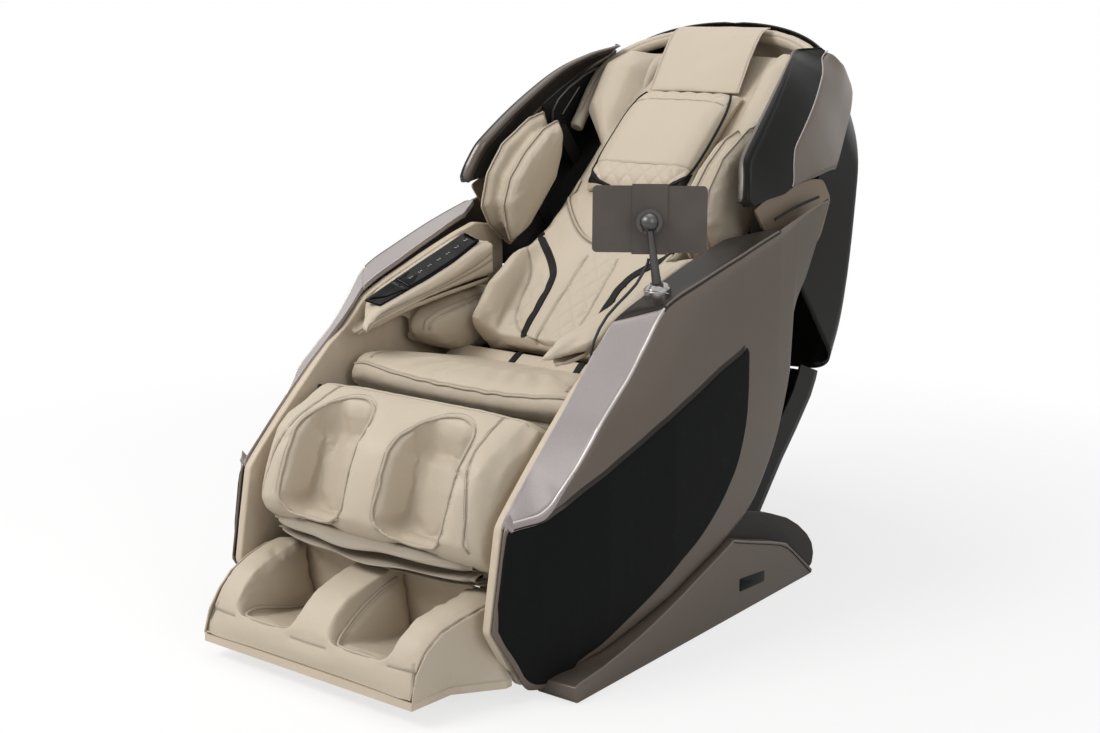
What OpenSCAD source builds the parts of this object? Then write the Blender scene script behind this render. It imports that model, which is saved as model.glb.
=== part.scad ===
// Reclining massage chair on a sliding base, with a leg rest, a roller mechanism and a tablet stand.
// Millimetres. The chair faces -Y and +Z is up. The origin is on the floor, under the middle of its length and width.

/* [Seat] */
// Half the clear width between the two inner liners
liner_x = 320; // [314:1:326]
// Thickness of an inner liner
liner_t = 20; // [14:1:22]
// Height of the seat's surface at its rear end
seat_rear_z = 480; // [470:1:484]
// Height of the seat's front roll
seat_front_z = 529; // [520:1:536]

/* [Side shells] */
// Half the width of the chair at the fullest part of the side shells
bulge_x = 436; // [434:1:446]
// Wall of a side shell
shell_wall = 6; // [4:0.5:7]
// Thickness of the inlay panel on a side shell
inlay_t = 3; // [2:0.5:5]

/* [Arms] */
// Thickness of the arm pad at its inner front edge
arm_pad_t = 30; // [24:1:32]
// Width of an arm pad
arm_pad_w = 94; // [86:1:96]
// Thickness of the touch control panel
control_t = 4; // [3:0.5:6]

/* [Back] */
// Angle of the back from upright
back_lean = 49; // [46:0.5:51]
// Length of the back from the hip hinge to the top of the rim
back_len = 1009; // [990:1:1020]
// Half the width of the rear cover
cover_x = 335; // [330:1:338]
// Wall of the rear cover
cover_wall = 5; // [3:0.5:6]
// Height of the massage rails behind the back pad, from the hip hinge's plane
rail_f = 10; // [4:1:14]
// Half the distance between the massage rails
rail_x = 168; // [160:1:175]
// Diameter of a massage roller
roller_d = 52; // [44:1:54]

/* [Wings] */
// Distance of a wing's outer face from the middle, at the shoulder
wing_x = 405; // [396:1:407]
// Thickness of a wing's front cover at the shoulder
wing_thick = 30; // [24:1:32]

/* [Head] */
// Half the width of the head pillow
pillow_x = 146; // [130:1:148]
// Thickness of the head pillow
pillow_t = 61; // [50:1:66]
// Diameter of the roll along the head rim
rim_d = 40; // [32:1:42]

/* [Leg rest] */
// Angle of the calf rest from upright
calf_lean = 27; // [24:0.5:29]
// Half the width of the calf rest
calf_x = 300; // [280:1:304]
// Depth of the calf troughs
trough_depth = 80; // [60:1:86]
// Half the width of the footrest at its front
foot_x = 279; // [270:1:284]
// Diameter of a foot sole roller
sole_roller_d = 22; // [16:1:24]

/* [Base] */
// Outer face of a base skid
skid_x = 446; // [440:1:450]
// Side of the square base tube
base_tube = 40; // [36:1:44]
// Diameter of a transport wheel
wheel_d = 60; // [50:1:62]

/* [Hinges] */
// Diameter of the hip and knee hinge pins
hinge_pin_d = 24; // [20:1:28]
// Diameter of the actuator pins
actuator_pin_d = 10; // [8:0.5:12]
// Diameter of an actuator rod
actuator_rod_d = 18; // [14:1:20]

/* [Tablet stand] */
// Length of a tablet's long side
tablet_w = 225; // [200:1:250]
// Length of a tablet's short side
tablet_h = 131; // [120:1:150]
// Thickness of the tablet
tablet_t = 9; // [7:0.5:12]
// Diameter of the stand's ball
ball_d = 36; // [30:1:38]
// Diameter of the foot on the arm
stand_foot_d = 54; // [50:1:60]

/* [Hidden] */
$fn = 48;

// Clearances
seat_gap = 0.3;
run_gap = 0.05;
eps = 0.01;

// Hinge points of the seat frame, seen from the side as [y, z]
hip = [60, 430];
knee = [-415, 455];

// ---- Shapes in general ----

// 0 below a, 1 above b, and a smooth step between them
function ease(a, b, v) = let (t = max(0, min(1, (v - a) / (b - a)))) t * t * (3 - 2 * t);

function quad(a, b, c, d) = [[a, b, c], [a, c, d]];

// Solid from points and triangles, whichever way round the triangles run
module solid(points, faces) {
    volume = [for (f = faces) points[f[0]] * cross(points[f[1]], points[f[2]])] * [for (f = faces) 1];
    polyhedron(points = points, faces = volume > 0 ? [for (f = faces) [f[2], f[1], f[0]]] : faces);
}

// Closed solid between an outer and an inner surface, each a grid of rows of points
module thick_patch(outer, inner) {
    m = len(outer);
    n = len(outer[0]);
    k = m * n;
    last = k - n;
    faces = concat(
        [for (i = [0 : m - 2], j = [0 : n - 2]) let (a = i * n + j) each quad(a, a + 1, a + n + 1, a + n)],
        [for (i = [0 : m - 2], j = [0 : n - 2]) let (a = k + i * n + j) each quad(a + n, a + n + 1, a + 1, a)],
        [for (i = [0 : m - 2]) let (a = i * n) each quad(a, a + n, a + n + k, a + k)],
        [for (i = [0 : m - 2]) let (a = i * n + n - 1) each quad(a + n, a, a + k, a + n + k)],
        [for (j = [0 : n - 2]) each quad(j + 1, j, j + k, j + 1 + k)],
        [for (j = [last : last + n - 2]) each quad(j, j + 1, j + 1 + k, j + k)]
    );
    solid([for (row = outer) each row, for (row = inner) each row], faces);
}

// Closed solid through rings that have equally many points, each end closed by a fan from its middle
module loft(rings) {
    m = len(rings);
    n = len(rings[0]);
    first_mid = [for (p = rings[0]) 1] * rings[0] / n;
    last_mid = [for (p = rings[m - 1]) 1] * rings[m - 1] / n;
    faces = concat(
        [for (i = [0 : m - 2], j = [0 : n - 1]) let (a = i * n + j, b = i * n + (j + 1) % n) each quad(a, b, b + n, a + n)],
        [for (j = [0 : n - 1]) [m * n, (j + 1) % n, j]],
        [for (j = [0 : n - 1]) [m * n + 1, (m - 1) * n + j, (m - 1) * n + (j + 1) % n]]
    );
    solid([for (ring = rings) each ring, first_mid, last_mid], faces);
}

// Round tube swept along a route of points
function unit(v) = v / norm(v);
function tangent(route, i) = unit(route[min(i + 1, len(route) - 1)] - route[max(i - 1, 0)]);
module sweep_tube(route, d, sides, up = [0, 0, 1]) {
    loft([for (i = [0 : len(route) - 1])
        let (t = tangent(route, i), a = unit(cross(t, up)), b = cross(t, a))
        [for (k = [0 : sides - 1]) route[i] + d / 2 * (cos(360 * k / sides) * a + sin(360 * k / sides) * b)]]);
}

// Side outline of [y, z] points, as thick as the stretch of X from x0 to x1
module side_plate(x0, x1, outline) {
    translate([x0, 0, 0])
        rotate([90, 0, 90])
            linear_extrude(x1 - x0)
                polygon(outline);
}

module block(x, y, z) {
    translate([x[0], y[0], z[0]])
        cube([x[1] - x[0], y[1] - y[0], z[1] - z[0]]);
}

module rod_x(x0, x1, d) {
    translate([x0, 0, 0])
        rotate([0, 90, 0])
            cylinder(h = x1 - x0, d = d);
}

module both_sides() {
    children();
    mirror([1, 0, 0])
        children();
}

// Places of the back: z runs up the back from the hip hinge and y runs rearwards, away from the sitter
module in_back() {
    translate([0, hip[0], hip[1]])
        rotate([-back_lean, 0, 0])
            children();
}

// Places of the leg rest: z runs up the calf to the knee hinge and y runs rearwards
module in_leg() {
    translate([0, knee[0], knee[1]])
        rotate([-calf_lean, 0, 0])
            children();
}

// Heights up the back keep their share of its length
back_share = back_len / 1009;
function up_back(pairs) = [for (p = pairs) [p[0] * back_share, p[1]]];

// A point of the back, from its distance out of the middle, up the back and towards the sitter
function back_point(x, up, front) = [x, -front, up];

// ---- Base ----

// Lower edge of the side shells, as height over distance from front to back
shell_low = [[-656, 150], [-640, 125], [-620, 95], [-600, 62], [-586, 34], [-572, 20], [-537, 13], [-504, 8],
    [-482, 9], [-470, 37], [-457, 40], [-383, 56], [-315, 72], [-245, 91], [-174, 111], [-99, 135], [-23, 159],
    [36, 184], [101, 214], [208, 335], [248, 429], [267, 497], [272, 609], [330, 690], [424, 836]];
skid_in = liner_x + 30;
skid_cap_x = bulge_x - 14;
skid_front = -530;
skid_nose_in = bulge_x - 34;
skid_nose_z = 30;
skid_split = [[26, 170], [249, 103], [372, 8]];
tube_x = 375;
tube_z = 12;

// Room in a skid for the side tube of the frame
module tube_pocket() {
    gap = seat_gap;
    block([tube_x - base_tube / 2 - gap, tube_x + base_tube / 2 + gap], [cross_y[0] - gap, tube_end + gap],
        [-1, tube_z + base_tube + gap]);
    for (y = cross_y)
        block([skid_in - 1, tube_x], [y - gap, y + base_tube + gap], [-1, tube_z + base_tube + gap]);
}

module skid_cover() {
    low = [for (y = [cross_y[0] - 5, -383, -315, -245, -174, -99, -23]) [y, lookup(y, shell_low) - 4]];
    difference() {
        union() {
            side_plate(skid_nose_in, skid_x, [[skid_front + 3, 0], [skid_front, skid_nose_z], [-470, skid_nose_z + 3],
                low[0], [low[0][0] + 2, 0]]);
            side_plate(skid_in, skid_x, concat([[low[0][0], 0]], low, skid_split, [[366, 0]]));
        }
        tube_pocket();
    }
}

module skid_covers() {
    color("dimgray")
        both_sides()
            skid_cover();
}

module skid_rear_caps() {
    lift = seat_gap;
    color([0.12, 0.11, 0.1])
        both_sides()
            difference() {
                side_plate(skid_in, skid_cap_x, [skid_split[0] + [0, lift], [39, 221], [90, 214], [127, 204],
                    [210, 178], [287, 148], [340, 118], [385, 84], [408, 58], [418, 30], [412, 6], [400, 0],
                    [skid_split[2][0] + 1, 0], skid_split[2] + [1, lift], skid_split[1] + [0, lift]]);
                tube_pocket();
            }
}

// Cross tubes of the base, by their places from front to back
cross_y = [-435, -120, 230];
tube_end = 336;
module base_frame() {
    color([0.2, 0.2, 0.21])
        difference() {
            union() {
                both_sides()
                    block([tube_x - base_tube / 2, tube_x + base_tube / 2], [cross_y[0], tube_end], [tube_z, tube_z + base_tube]);
                for (y = cross_y)
                    block([-tube_x, tube_x], [y, y + base_tube], [tube_z, tube_z + base_tube]);
                // Wheel ears behind the last cross tube
                both_sides()
                    for (x = wheel_ear_x)
                        block([x, x + ear_t], [cross_y[2] + base_tube - eps, wheel_y + 14], [tube_z + 4, wheel_z + 14]);
            }
            both_sides()
                translate([0, wheel_y, wheel_z])
                    rod_x(wheel_ear_x[0] - 1, wheel_ear_x[1] + ear_t + 1, wheel_axle_d + 2 * run_gap);
        }
}

module base_feet() {
    color("black")
        both_sides()
            for (y = [cross_y[0] + 20, tube_end - 26])
                translate([tube_x, y, 0])
                    cylinder(h = tube_z, d = 34);
}

rail_pos = 270;
rail_h = 22;
rail_z = tube_z + base_tube;
rail_w = 20;
module base_rails() {
    color("silver")
        both_sides()
            block([rail_pos - rail_w / 2, rail_pos + rail_w / 2], [cross_y[0] + 4, cross_y[2] + base_tube - 4],
                [rail_z, rail_z + rail_h]);
}

// Transport wheels between two ears each
wheel_w = 22;
ear_t = 6;
wheel_z = wheel_d / 2 + 8;
wheel_y = 322;
wheel_axle_d = 12;
wheel_ear_x = [216 - ear_t - 1, 216 + wheel_w + 1];
module transport_wheel() {
    color([0.1, 0.1, 0.1])
        translate([0, wheel_y, wheel_z])
            union() {
                translate([216, 0, 0])
                    rod_x(0, wheel_w, wheel_d);
                rod_x(wheel_ear_x[0] - 3, wheel_ear_x[1] + ear_t + 3, wheel_axle_d);
            }
}

module left_transport_wheel() {
    transport_wheel();
}

module right_transport_wheel() {
    mirror([1, 0, 0])
        transport_wheel();
}

// Mains inlet plate across the rear cross tube, with its rocker
power_y = cross_y[2] + base_tube;
rocker_w = 20;
rocker_h = 13;
inlet_w = 27;
inlet_h = 20;
rocker_pin_d = 3;
power_z = tube_z + base_tube / 2 + 4;
module power_panel() {
    color([0.08, 0.08, 0.08])
        difference() {
            block([-60, 60], [power_y, power_y + 22], [power_z - 22, power_z + 22]);
            block([-46, -46 + inlet_w], [power_y + 6, power_y + 23], [power_z - inlet_h / 2, power_z + inlet_h / 2]);
            block([16, 16 + rocker_w + 1], [power_y + 4, power_y + 23], [power_z - 14, power_z + 14]);
            translate([16 + rocker_w / 2, power_y + 16, power_z])
                rod_x(-rocker_w / 2 - 4, rocker_w / 2 + 5, rocker_pin_d + 2 * run_gap);
        }
}

module power_rocker() {
    color("firebrick")
        translate([16.5, power_y + 16, power_z])
            union() {
                rotate([-9, 0, 0])
                    block([0, rocker_w], [-5, 7], [-rocker_h / 2 - 3, rocker_h / 2 + 3]);
                rod_x(-3, rocker_w + 3, rocker_pin_d);
            }
}

module control_box() {
    color("gray")
        block([-150, -20], [cross_y[1] + base_tube + seat_gap, 100], [tube_z + 4, tube_z + 60]);
}

pump_top = tube_z + 46;
module air_pump() {
    color([0.3, 0.3, 0.32])
        union() {
            block([20, 150], [cross_y[1] + base_tube + seat_gap, 70], [tube_z + 4, pump_top]);
            for (x = [45, 85, 125])
                translate([x, 0, pump_top - eps])
                    cylinder(h = 12, d = 22);
        }
}

// ---- Seat unit ----

block_h = 30;
frame_z = rail_z + rail_h + 8;
frame_tube = 30;
slide_travel = 120;
module rail_blocks() {
    color("gray")
        both_sides()
            for (y = [-270, 150])
                difference() {
                    block([rail_pos - 24, rail_pos + 24], [y, y + 70], [rail_z + 4, frame_z]);
                    block([rail_pos - rail_w / 2 - seat_gap, rail_pos + rail_w / 2 + seat_gap], [y - 1, y + 71],
                        [rail_z, rail_z + rail_h + seat_gap]);
                }
}

module hinge_boss(p, x0, x1, bore) {
    translate([0, p[0], p[1]])
        difference() {
            rod_x(x0, x1, bore + 24);
            rod_x(x0 - 1, x1 + 1, bore);
        }
}

hinge_x0 = 284;
hinge_t = 12;
// Knee lugs beside the calf rest: first the seat frame's, then the leg rest's
knee_x0 = calf_x + 3;
knee_lug_t = 6;
knee_leg_x0 = knee_x0 + knee_lug_t + seat_gap;
recline_x = -90;
legrest_x = 90;
pivot_recline = [-330, 200];
pivot_legrest = [-20, 190];
actuator_eye_x = 14;
lever_recline = [-20, -110];
lever_legrest = [18, -61];
// Cross tubes of the seat frame, as [y, z] of their lower front corners
front_cross = [-330, 280];
mid_cross = [-110, 340];
seat_tube_z = hip[1] - 90;

module actuator_ears(x_mid, p, y0, y1, z0, z1) {
    difference() {
        for (x = [-actuator_eye_x - 8, actuator_eye_x])
            block([x_mid + x, x_mid + x + 8], [y0, y1], [z0, z1]);
        translate([x_mid, p[0], p[1]])
            rod_x(-40, 40, actuator_pin_d + 2 * run_gap);
    }
}

module seat_frame() {
    side_out = hinge_x0 - 4;
    wide = liner_x - seat_gap;
    color([0.22, 0.22, 0.23])
        union() {
            both_sides() {
                // Lower tube on the bearing blocks, posts at the knee and the hip, and seat tube
                block([side_out - frame_tube, side_out], [-330, frame_rear_y], [frame_z, frame_z + frame_tube]);
                block([side_out - frame_tube, side_out], [hip[0] + 20, hip[0] + 50], [frame_z, seat_tube_z + frame_tube]);
                block([side_out - frame_tube, side_out], [-330, -300], [frame_z, seat_tube_z + frame_tube]);
                block([side_out - frame_tube, side_out], [-330, hip[0] + 50], [seat_tube_z, seat_tube_z + frame_tube]);
                // Hip lug and its pin
                side_plate(side_out - 8, side_out, [[hip[0] - 40, hip[1] - 70], [hip[0] - 22, hip[1] + 4],
                    [hip[0] + 22, hip[1] + 4], [hip[0] + 50, hip[1] - 70]]);
                translate([0, hip[0], hip[1]]) {
                    rod_x(side_out - 8, side_out, hinge_pin_d + 20);
                    rod_x(side_out - 2, hinge_x0 + hinge_t + 4, hinge_pin_d);
                }
                // Knee lug outside the calf rest and its pin
                block([side_out - 1, knee_x0 + knee_lug_t], [-330, -300], [seat_tube_z, seat_tube_z + frame_tube]);
                side_plate(knee_x0, knee_x0 + knee_lug_t, [[-330, seat_tube_z], [-300, seat_tube_z], [-300, 395],
                    knee + [10, 19], knee + [-16, 10], knee + [-10, -17]]);
                translate([0, knee[0], knee[1]]) {
                    rod_x(knee_x0, knee_x0 + knee_lug_t, hinge_pin_d + 16);
                    rod_x(knee_x0 + 1, knee_leg_x0 + knee_lug_t + 2, hinge_pin_d);
                }
            }
            for (p = [front_cross, mid_cross])
                block([-wide, wide], [p[0], p[0] + frame_tube], [p[1], p[1] + frame_tube]);
            for (y = [-330, 30])
                block([-side_out + 1, side_out - 1], [y, y + frame_tube], [frame_z, frame_z + frame_tube]);
            actuator_ears(recline_x, pivot_recline, -345, -305, frame_z + 10, pivot_recline[1] + 14);
            actuator_ears(legrest_x, pivot_legrest, -36, 34, frame_z + 10, pivot_legrest[1] + 14);
        }
}

// Heights along the seat's middle, from its rear end to its front roll
seat_front_y = -301;
seat_top = [[-345, seat_front_z - 22], [-325, seat_front_z - 6], [seat_front_y, seat_front_z], [-240, seat_front_z - 6],
    [-100, seat_front_z - 32], [0, seat_rear_z + 4], [12, seat_rear_z]];
seat_base_z = seat_tube_z + frame_tube + seat_gap;
seat_half = liner_x - 18;
lever_room = 28;
module seat_cushion() {
    xs = [for (k = [-8 : 8]) k / 8];
    ys = [12, 0, -50, -100, -170, -240, seat_front_y, -325, -345, -352];
    // Each row runs along the seat and rolls over its front edge
    top = [for (u = xs) let (side = pow(abs(u), 2.5), edge = 14 * ease(0.88, 1, abs(u)))
        [for (y = ys) [u * seat_half, y,
            (y < -350 ? seat_front_z - 50 : lookup(y, seat_top)) + 20 * side * ease(-20, -240, y) - edge]]];
    // Its underside rises at the rear, where the recline lever comes up
    base = [for (u = xs) [for (y = ys) [u * (seat_half - 8), max(y, -300 + (y + 352) * 0.2),
        seat_base_z + (y < -300 ? 14 : 0) + lever_room * ease(-60, 0, y)]]];
    color([0.8, 0.74, 0.64])
        thick_patch(top, base);
}

// Ridge and inner edge of the arm top, and how the shell swells outwards between them and its lower edge
shell_ridge = [[-656, 160], [-640, 243], [-630, 297], [-620, 346], [-606, 352], [-555, 355], [-525, 369],
    [-500, 397], [-461, 433], [-427, 470], [-401, 500], [-352, 539], [-302, 578], [-252, 628], [-204, 680], [-176, 699], [-80, 729], [120, 783], [204, 803], [275, 821], [368, 842], [424, 848]];
arm_edge = [[-656, 162], [-640, 245], [-630, 299], [-620, 350], [-610, 362], [-334, 610], [-302, 637],
    [-267, 668], [-134, 717], [-18, 755], [105, 789], [204, 804], [275, 821], [368, 842], [424, 848]];
shell_front_x = liner_x + liner_t + shell_wall + 0.5;
ridge_x = [[-656, shell_front_x], [-620, shell_front_x + 2], [-569, shell_front_x + 16], [-500, bulge_x - 50],
    [-401, bulge_x - 36], [-265, bulge_x - 38], [-176, bulge_x - 34], [-80, bulge_x - 24], [60, bulge_x - 11],
    [204, bulge_x - 5], [424, bulge_x - 8]];
// Inner edge of the arm top, which lies on the liner and runs out to the ridge behind the pad
arm_in = [[-656, liner_x + liner_t + 0.5], [-430, liner_x + liner_t + 0.5], [-334, liner_x + 9],
    [-267, liner_x + 10], [-134, liner_x + 15], [-18, liner_x + 19], [60, liner_x + 19]];
mid_x = [[-656, shell_front_x], [-620, shell_front_x + 12], [-560, shell_front_x + 36], [-480, bulge_x - 32],
    [-400, bulge_x - 16], [-200, bulge_x], [0, bulge_x], [200, bulge_x], [424, bulge_x - 12]];
low_x = [[-656, shell_front_x], [-620, shell_front_x + 5], [-560, shell_front_x + 22], [-480, bulge_x - 44],
    [-400, bulge_x - 26], [-200, bulge_x - 8], [0, bulge_x - 5], [272, bulge_x - 7], [424, bulge_x - 12]];

// Distance from the middle of the shell's outer face at a place seen from the side
function shell_x(y, z) =
    let (v = (z - lookup(y, shell_low)) / max(1, lookup(y, shell_ridge) - lookup(y, shell_low)),
        swell = lookup(y, mid_x) - (lookup(y, low_x) + lookup(y, ridge_x)) / 2)
    lookup(y, low_x) * (1 - v) + lookup(y, ridge_x) * v + swell * 4 * v * (1 - v);

shell_ys = [-655, -648, -640, -630, -620, -606, -586, -572, -555, -537, -525, -504, -482, -470, -457, -427, -401,
    -352, -334, -302, -267, -252, -204, -176, -134, -80, -18, 40, 70, 90, 110, 130, 150, 170, 190, 204, 248, 267, 273, 330, 380, 418];
shell_vs = [0, 0.06, 0.17, 0.3, 0.43, 0.56, 0.7, 0.83, 0.94, 1];
module side_shell() {
    function arm_in_x(y) =
        let (x = lookup(y, arm_in))
        x + (lookup(y, ridge_x) - shell_wall - 1 - x) * ease(70, 204, y);
    function wall_row(y, shift) =
        let (low = lookup(y, shell_low), top = lookup(y, shell_ridge))
        [for (v = shell_vs) let (z = low + (top - low) * v) [shell_x(y, z) - shift, y, z - (v == 1 ? shift : 0)]];
    function top_row(y, shift) =
        let (x1 = lookup(y, ridge_x), x0 = arm_in_x(y), z1 = lookup(y, shell_ridge), z0 = lookup(y, arm_edge))
        [for (u = [0.5, 1]) [x1 + (x0 - x1) * u - (u < 1 ? shift * 0.5 : 0), y, z1 + (z0 - z1) * u - shift]];
    color([0.42, 0.38, 0.35])
        thick_patch([for (y = shell_ys) concat(wall_row(y, 0), top_row(y, 0))],
            [for (y = shell_ys) concat(wall_row(y, shell_wall), top_row(y, min(shell_wall, (lookup(y, shell_ridge)
                - lookup(y, shell_low)) * 0.3)))]);
}

module left_side_shell() {
    side_shell();
}

module right_side_shell() {
    mirror([1, 0, 0])
        side_shell();
}

// Black panel let on to the lower part of each shell
inlay_low = [[-644, 155], [-630, 128], [-612, 100], [-598, 76], [-586, 52], [-574, 38], [-556, 28], [-530, 24],
    [-504, 23], [-482, 27], [-465, 48], [-415, 66], [-358, 88], [-273, 123], [-236, 140], [-170, 172], [-97, 205],
    [-23, 257], [7, 287], [33, 319], [52, 358], [69, 419], [77, 503], [80, 545]];
inlay_top = [[-644, 205], [-636, 250], [-626, 304], [-618, 334], [-610, 340], [-546, 343], [-513, 357], [-467, 379],
    [-417, 400], [-362, 421], [-302, 442], [-242, 466], [-177, 491], [-104, 516], [-30, 543], [47, 566], [66, 574],
    [75, 570], [80, 558]];
inlay_lift = 1.2;
module side_inlay_panels() {
    ys = [-644, -637, -629, -620, -606, -586, -572, -555, -537, -525, -504, -482, -470, -457, -427, -401, -352, -302,
        -252, -204, -176, -134, -80, -18, 15, 40, 57, 68, 75, 80];
    function row(y, lift) =
        let (low = lookup(y, inlay_low), top = lookup(y, inlay_top))
        [for (k = [0 : 6]) let (z = low + (top - low) * k / 6) [shell_x(y, z) + lift, y, z]];
    color([0.08, 0.09, 0.08])
        both_sides()
            thick_patch([for (y = ys) row(y, inlay_lift + inlay_t)], [for (y = ys) row(y, inlay_lift)]);
}

liner_drop = 14;
module inner_liners() {
    color([0.8, 0.74, 0.64])
        both_sides()
            side_plate(liner_x, liner_x + liner_t, concat([[-620, 344], [-656, 147], [-561, 17], [-470, 62],
                [-200, 150], [60, 220], [180, 300], [204, 420]],
                [for (y = [204, 105, -18, -134, -267, -302, -334, -610]) [y, lookup(y, arm_edge) - shell_wall - liner_drop]]));
}

// Arm pads, the airbags under them and the touch panel
pad_out_x = liner_x - 0.5;
pad_in_x = pad_out_x - arm_pad_w;
pad_in_z = [[-394, 604], [-363, 621], [-140, 665], [-37, 696], [60, 744]];
pad_out_z = [[-394, 606], [-275, 655], [-134, 709], [-18, 746], [60, 766]];
pad_low_z = [[-394, 604 - arm_pad_t], [-346, 621 - arm_pad_t + 8], [-140, 640], [143, 672]];
module arm_pad() {
    us = [0, 0.06, 0.2, 0.5, 0.8, 0.94, 1];
    vs = [0, 0.03, 0.12, 0.3, 0.5, 0.7, 0.88, 1];
    function pad_y(u, v) = let (y0 = -392 + 116 * u) y0 + (60 - y0) * v;
    function soft(u, v) = 9 * (1 - ease(0, 0.12, u)) + 6 * ease(0.9, 1, u) + 12 * (1 - ease(0, 0.1, v)) + 8 * ease(0.93, 1, v)
        + 3 * ease(0.3, 0.5, u) * (1 - ease(0.5, 0.7, u));
    top = [for (u = us) [for (v = vs) let (y = pad_y(u, v), x = pad_in_x + (pad_out_x - pad_in_x) * u)
        [x, y, lookup(y, pad_in_z) + (lookup(y, pad_out_z) - lookup(y, pad_in_z)) * u - soft(u, v)]]];
    base = [for (u = us) [for (v = vs) let (y = pad_y(u, v), x = pad_in_x + (pad_out_x - pad_in_x) * u)
        [x, y, min(lookup(y, pad_low_z), lookup(y, pad_in_z) - 22)]]];
    thick_patch(top, base);
}

module left_arm_pad() {
    color([0.8, 0.74, 0.64])
        arm_pad();
}

module right_arm_pad() {
    color([0.8, 0.74, 0.64])
        mirror([1, 0, 0])
            arm_pad();
}

// Leaf-shaped cushion: an outline that swells from its two faces to its rim
module leaf_pad(outline, x0, x1, crown) {
    mid = [for (p = outline) 1] * outline / len(outline);
    steps = [[0, crown], [0.18, (crown + 1) / 2], [0.5, 1], [0.82, (crown + 1) / 2], [1, crown]];
    loft([for (s = steps) [for (p = outline) let (q = mid + (p - mid) * s[1]) [x0 + (x1 - x0) * s[0], q[0], q[1]]]]);
}

airbag_out_x = liner_x - 0.5;
module arm_airbags() {
    color([0.76, 0.7, 0.6])
        both_sides() {
            // Hip airbag on the liner, below the forearm tunnel
            leaf_pad(concat([[-182, 550], [-150, 568], [-60, 590], [60, 618], [140, 632], [168, 612], [172, 580], [140, 548],
                [96, 508]], [for (y = [50, 0, -60, -120, -178]) [y, lookup(y, seat_top) + 16 * ease(-20, -240, y) + 5]]),
                pad_in_x + 6, airbag_out_x, 0.82);
            // Forearm airbag under the arm pad
            leaf_pad([[-330, 572], [-326, 580], [-240, 597], [-60, 622], [60, 640], [130, 652], [134, 640], [60, 626],
                [-60, 604], [-180, 584], [-250, 570], [-300, 564]], airbag_out_x - 16, airbag_out_x, 0.92);
        }
}

// Glossy touch panel sunk in the top of the right arm pad
panel_lift = 1.3;
module control_panel() {
    p0 = [-(pad_in_x + 24), -300];
    p1 = [-(pad_in_x + 24), 30];
    w = 44;
    function top_z(x, y) = let (u = (-x - pad_in_x) / arm_pad_w)
        lookup(y, pad_in_z) + (lookup(y, pad_out_z) - lookup(y, pad_in_z)) * u;
    ys = [p0[1], -250, -200, -140, -90, -37, 0, p1[1]];
    function row(y, lift) = [for (k = [0 : 2]) let (x = p0[0] - w * k / 2) [x, y, top_z(x, y) + lift]];
    color([0.03, 0.03, 0.03])
        thick_patch([for (y = ys) row(y, panel_lift + control_t)], [for (y = ys) row(y, panel_lift)]);
}

// U-shaped section with rounded corners, as [x, depth] points: legs of the given depth and a bowed back
function u_section(half, depth, r, bow) =
    let (leg = concat([[half, 0], [half, (depth - r) / 2], [half, depth - r]],
            [for (a = [18 : 18 : 72]) [half - r + r * cos(a), depth - r + r * sin(a)]],
            [[half - r, depth], [(half - r) / 2, depth + bow * 0.75]]),
        n = len(leg))
    concat([for (p = leg) [-p[0], p[1]]], [[0, depth + bow]], [for (k = [n - 1 : -1 : 0]) leg[k]]);

lower_cover_profile = [[375, 85], [397, 110], [493, 214], [560, 277], [622, 341], [645, 378], [652, 396]];
lower_cover_depth = 130;
lower_cover_rake = 0.35;
frame_rear_y = lower_cover_profile[0][0] - cover_wall - 7.2;
module lower_rear_cover() {
    half = liner_x - 4;
    function row(p, shift) = [for (q = u_section(half - shift, lower_cover_depth - shift, 60, 0))
        let (back = lower_cover_depth - q[1]) [q[0], p[0] - back, p[1] + back * lower_cover_rake]];
    color([0.13, 0.12, 0.11])
        thick_patch([for (p = lower_cover_profile) row(p, 0)], [for (p = lower_cover_profile) row(p, cover_wall)]);
}

// ---- Actuators ----

// Motor tube from its pivot towards a lever pin, and the rod that slides in it
module actuator_motor(p, q, body) {
    dir = q - p;
    angle = atan2(dir[1], dir[0]);
    translate([0, p[0], p[1]])
        rotate([angle, 0, 0])
            difference() {
                union() {
                    rod_x(-actuator_eye_x + 0.5, actuator_eye_x - 0.5, actuator_pin_d + 18);
                    block([-12, 12], [0, 30], [-14, 14]);
                    translate([0, 29, 0])
                        rotate([-90, 0, 0])
                            cylinder(h = body - 29, d = 44);
                    block([-30, 30], [34, 96], [-66, 0]);
                }
                rod_x(-40, 40, actuator_pin_d + 2 * run_gap);
                translate([0, 40, 0])
                    rotate([-90, 0, 0])
                        cylinder(h = body, d = actuator_rod_d + 2 * run_gap);
            }
    translate([0, p[0], p[1]])
        rod_x(-actuator_eye_x - 7, actuator_eye_x + 7, actuator_pin_d);
}

rod_eye_gap = 7;
rod_eye_wall = 12;
module actuator_rod(p, q, start) {
    dir = q - p;
    angle = atan2(dir[1], dir[0]);
    reach = norm(dir);
    translate([0, p[0], p[1]])
        rotate([angle, 0, 0])
            difference() {
                union() {
                    translate([0, start, 0])
                        rotate([-90, 0, 0])
                            cylinder(h = reach - start - 14, d = actuator_rod_d);
                    block([-8, 8], [reach - 26, reach], [-9, 9]);
                    translate([0, reach, 0])
                        rod_x(-8, 8, actuator_pin_d + 2 * rod_eye_gap + rod_eye_wall);
                }
                translate([0, reach, 0])
                    rod_x(-9, 9, actuator_pin_d + 2 * rod_eye_gap);
            }
}

module recline_motor() {
    color([0.15, 0.15, 0.16])
        translate([recline_x, 0, 0])
            actuator_motor(pivot_recline, hip + lever_recline, 260);
}

module recline_rod() {
    color("silver")
        translate([recline_x, 0, 0])
            actuator_rod(pivot_recline, hip + lever_recline, 180);
}

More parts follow.
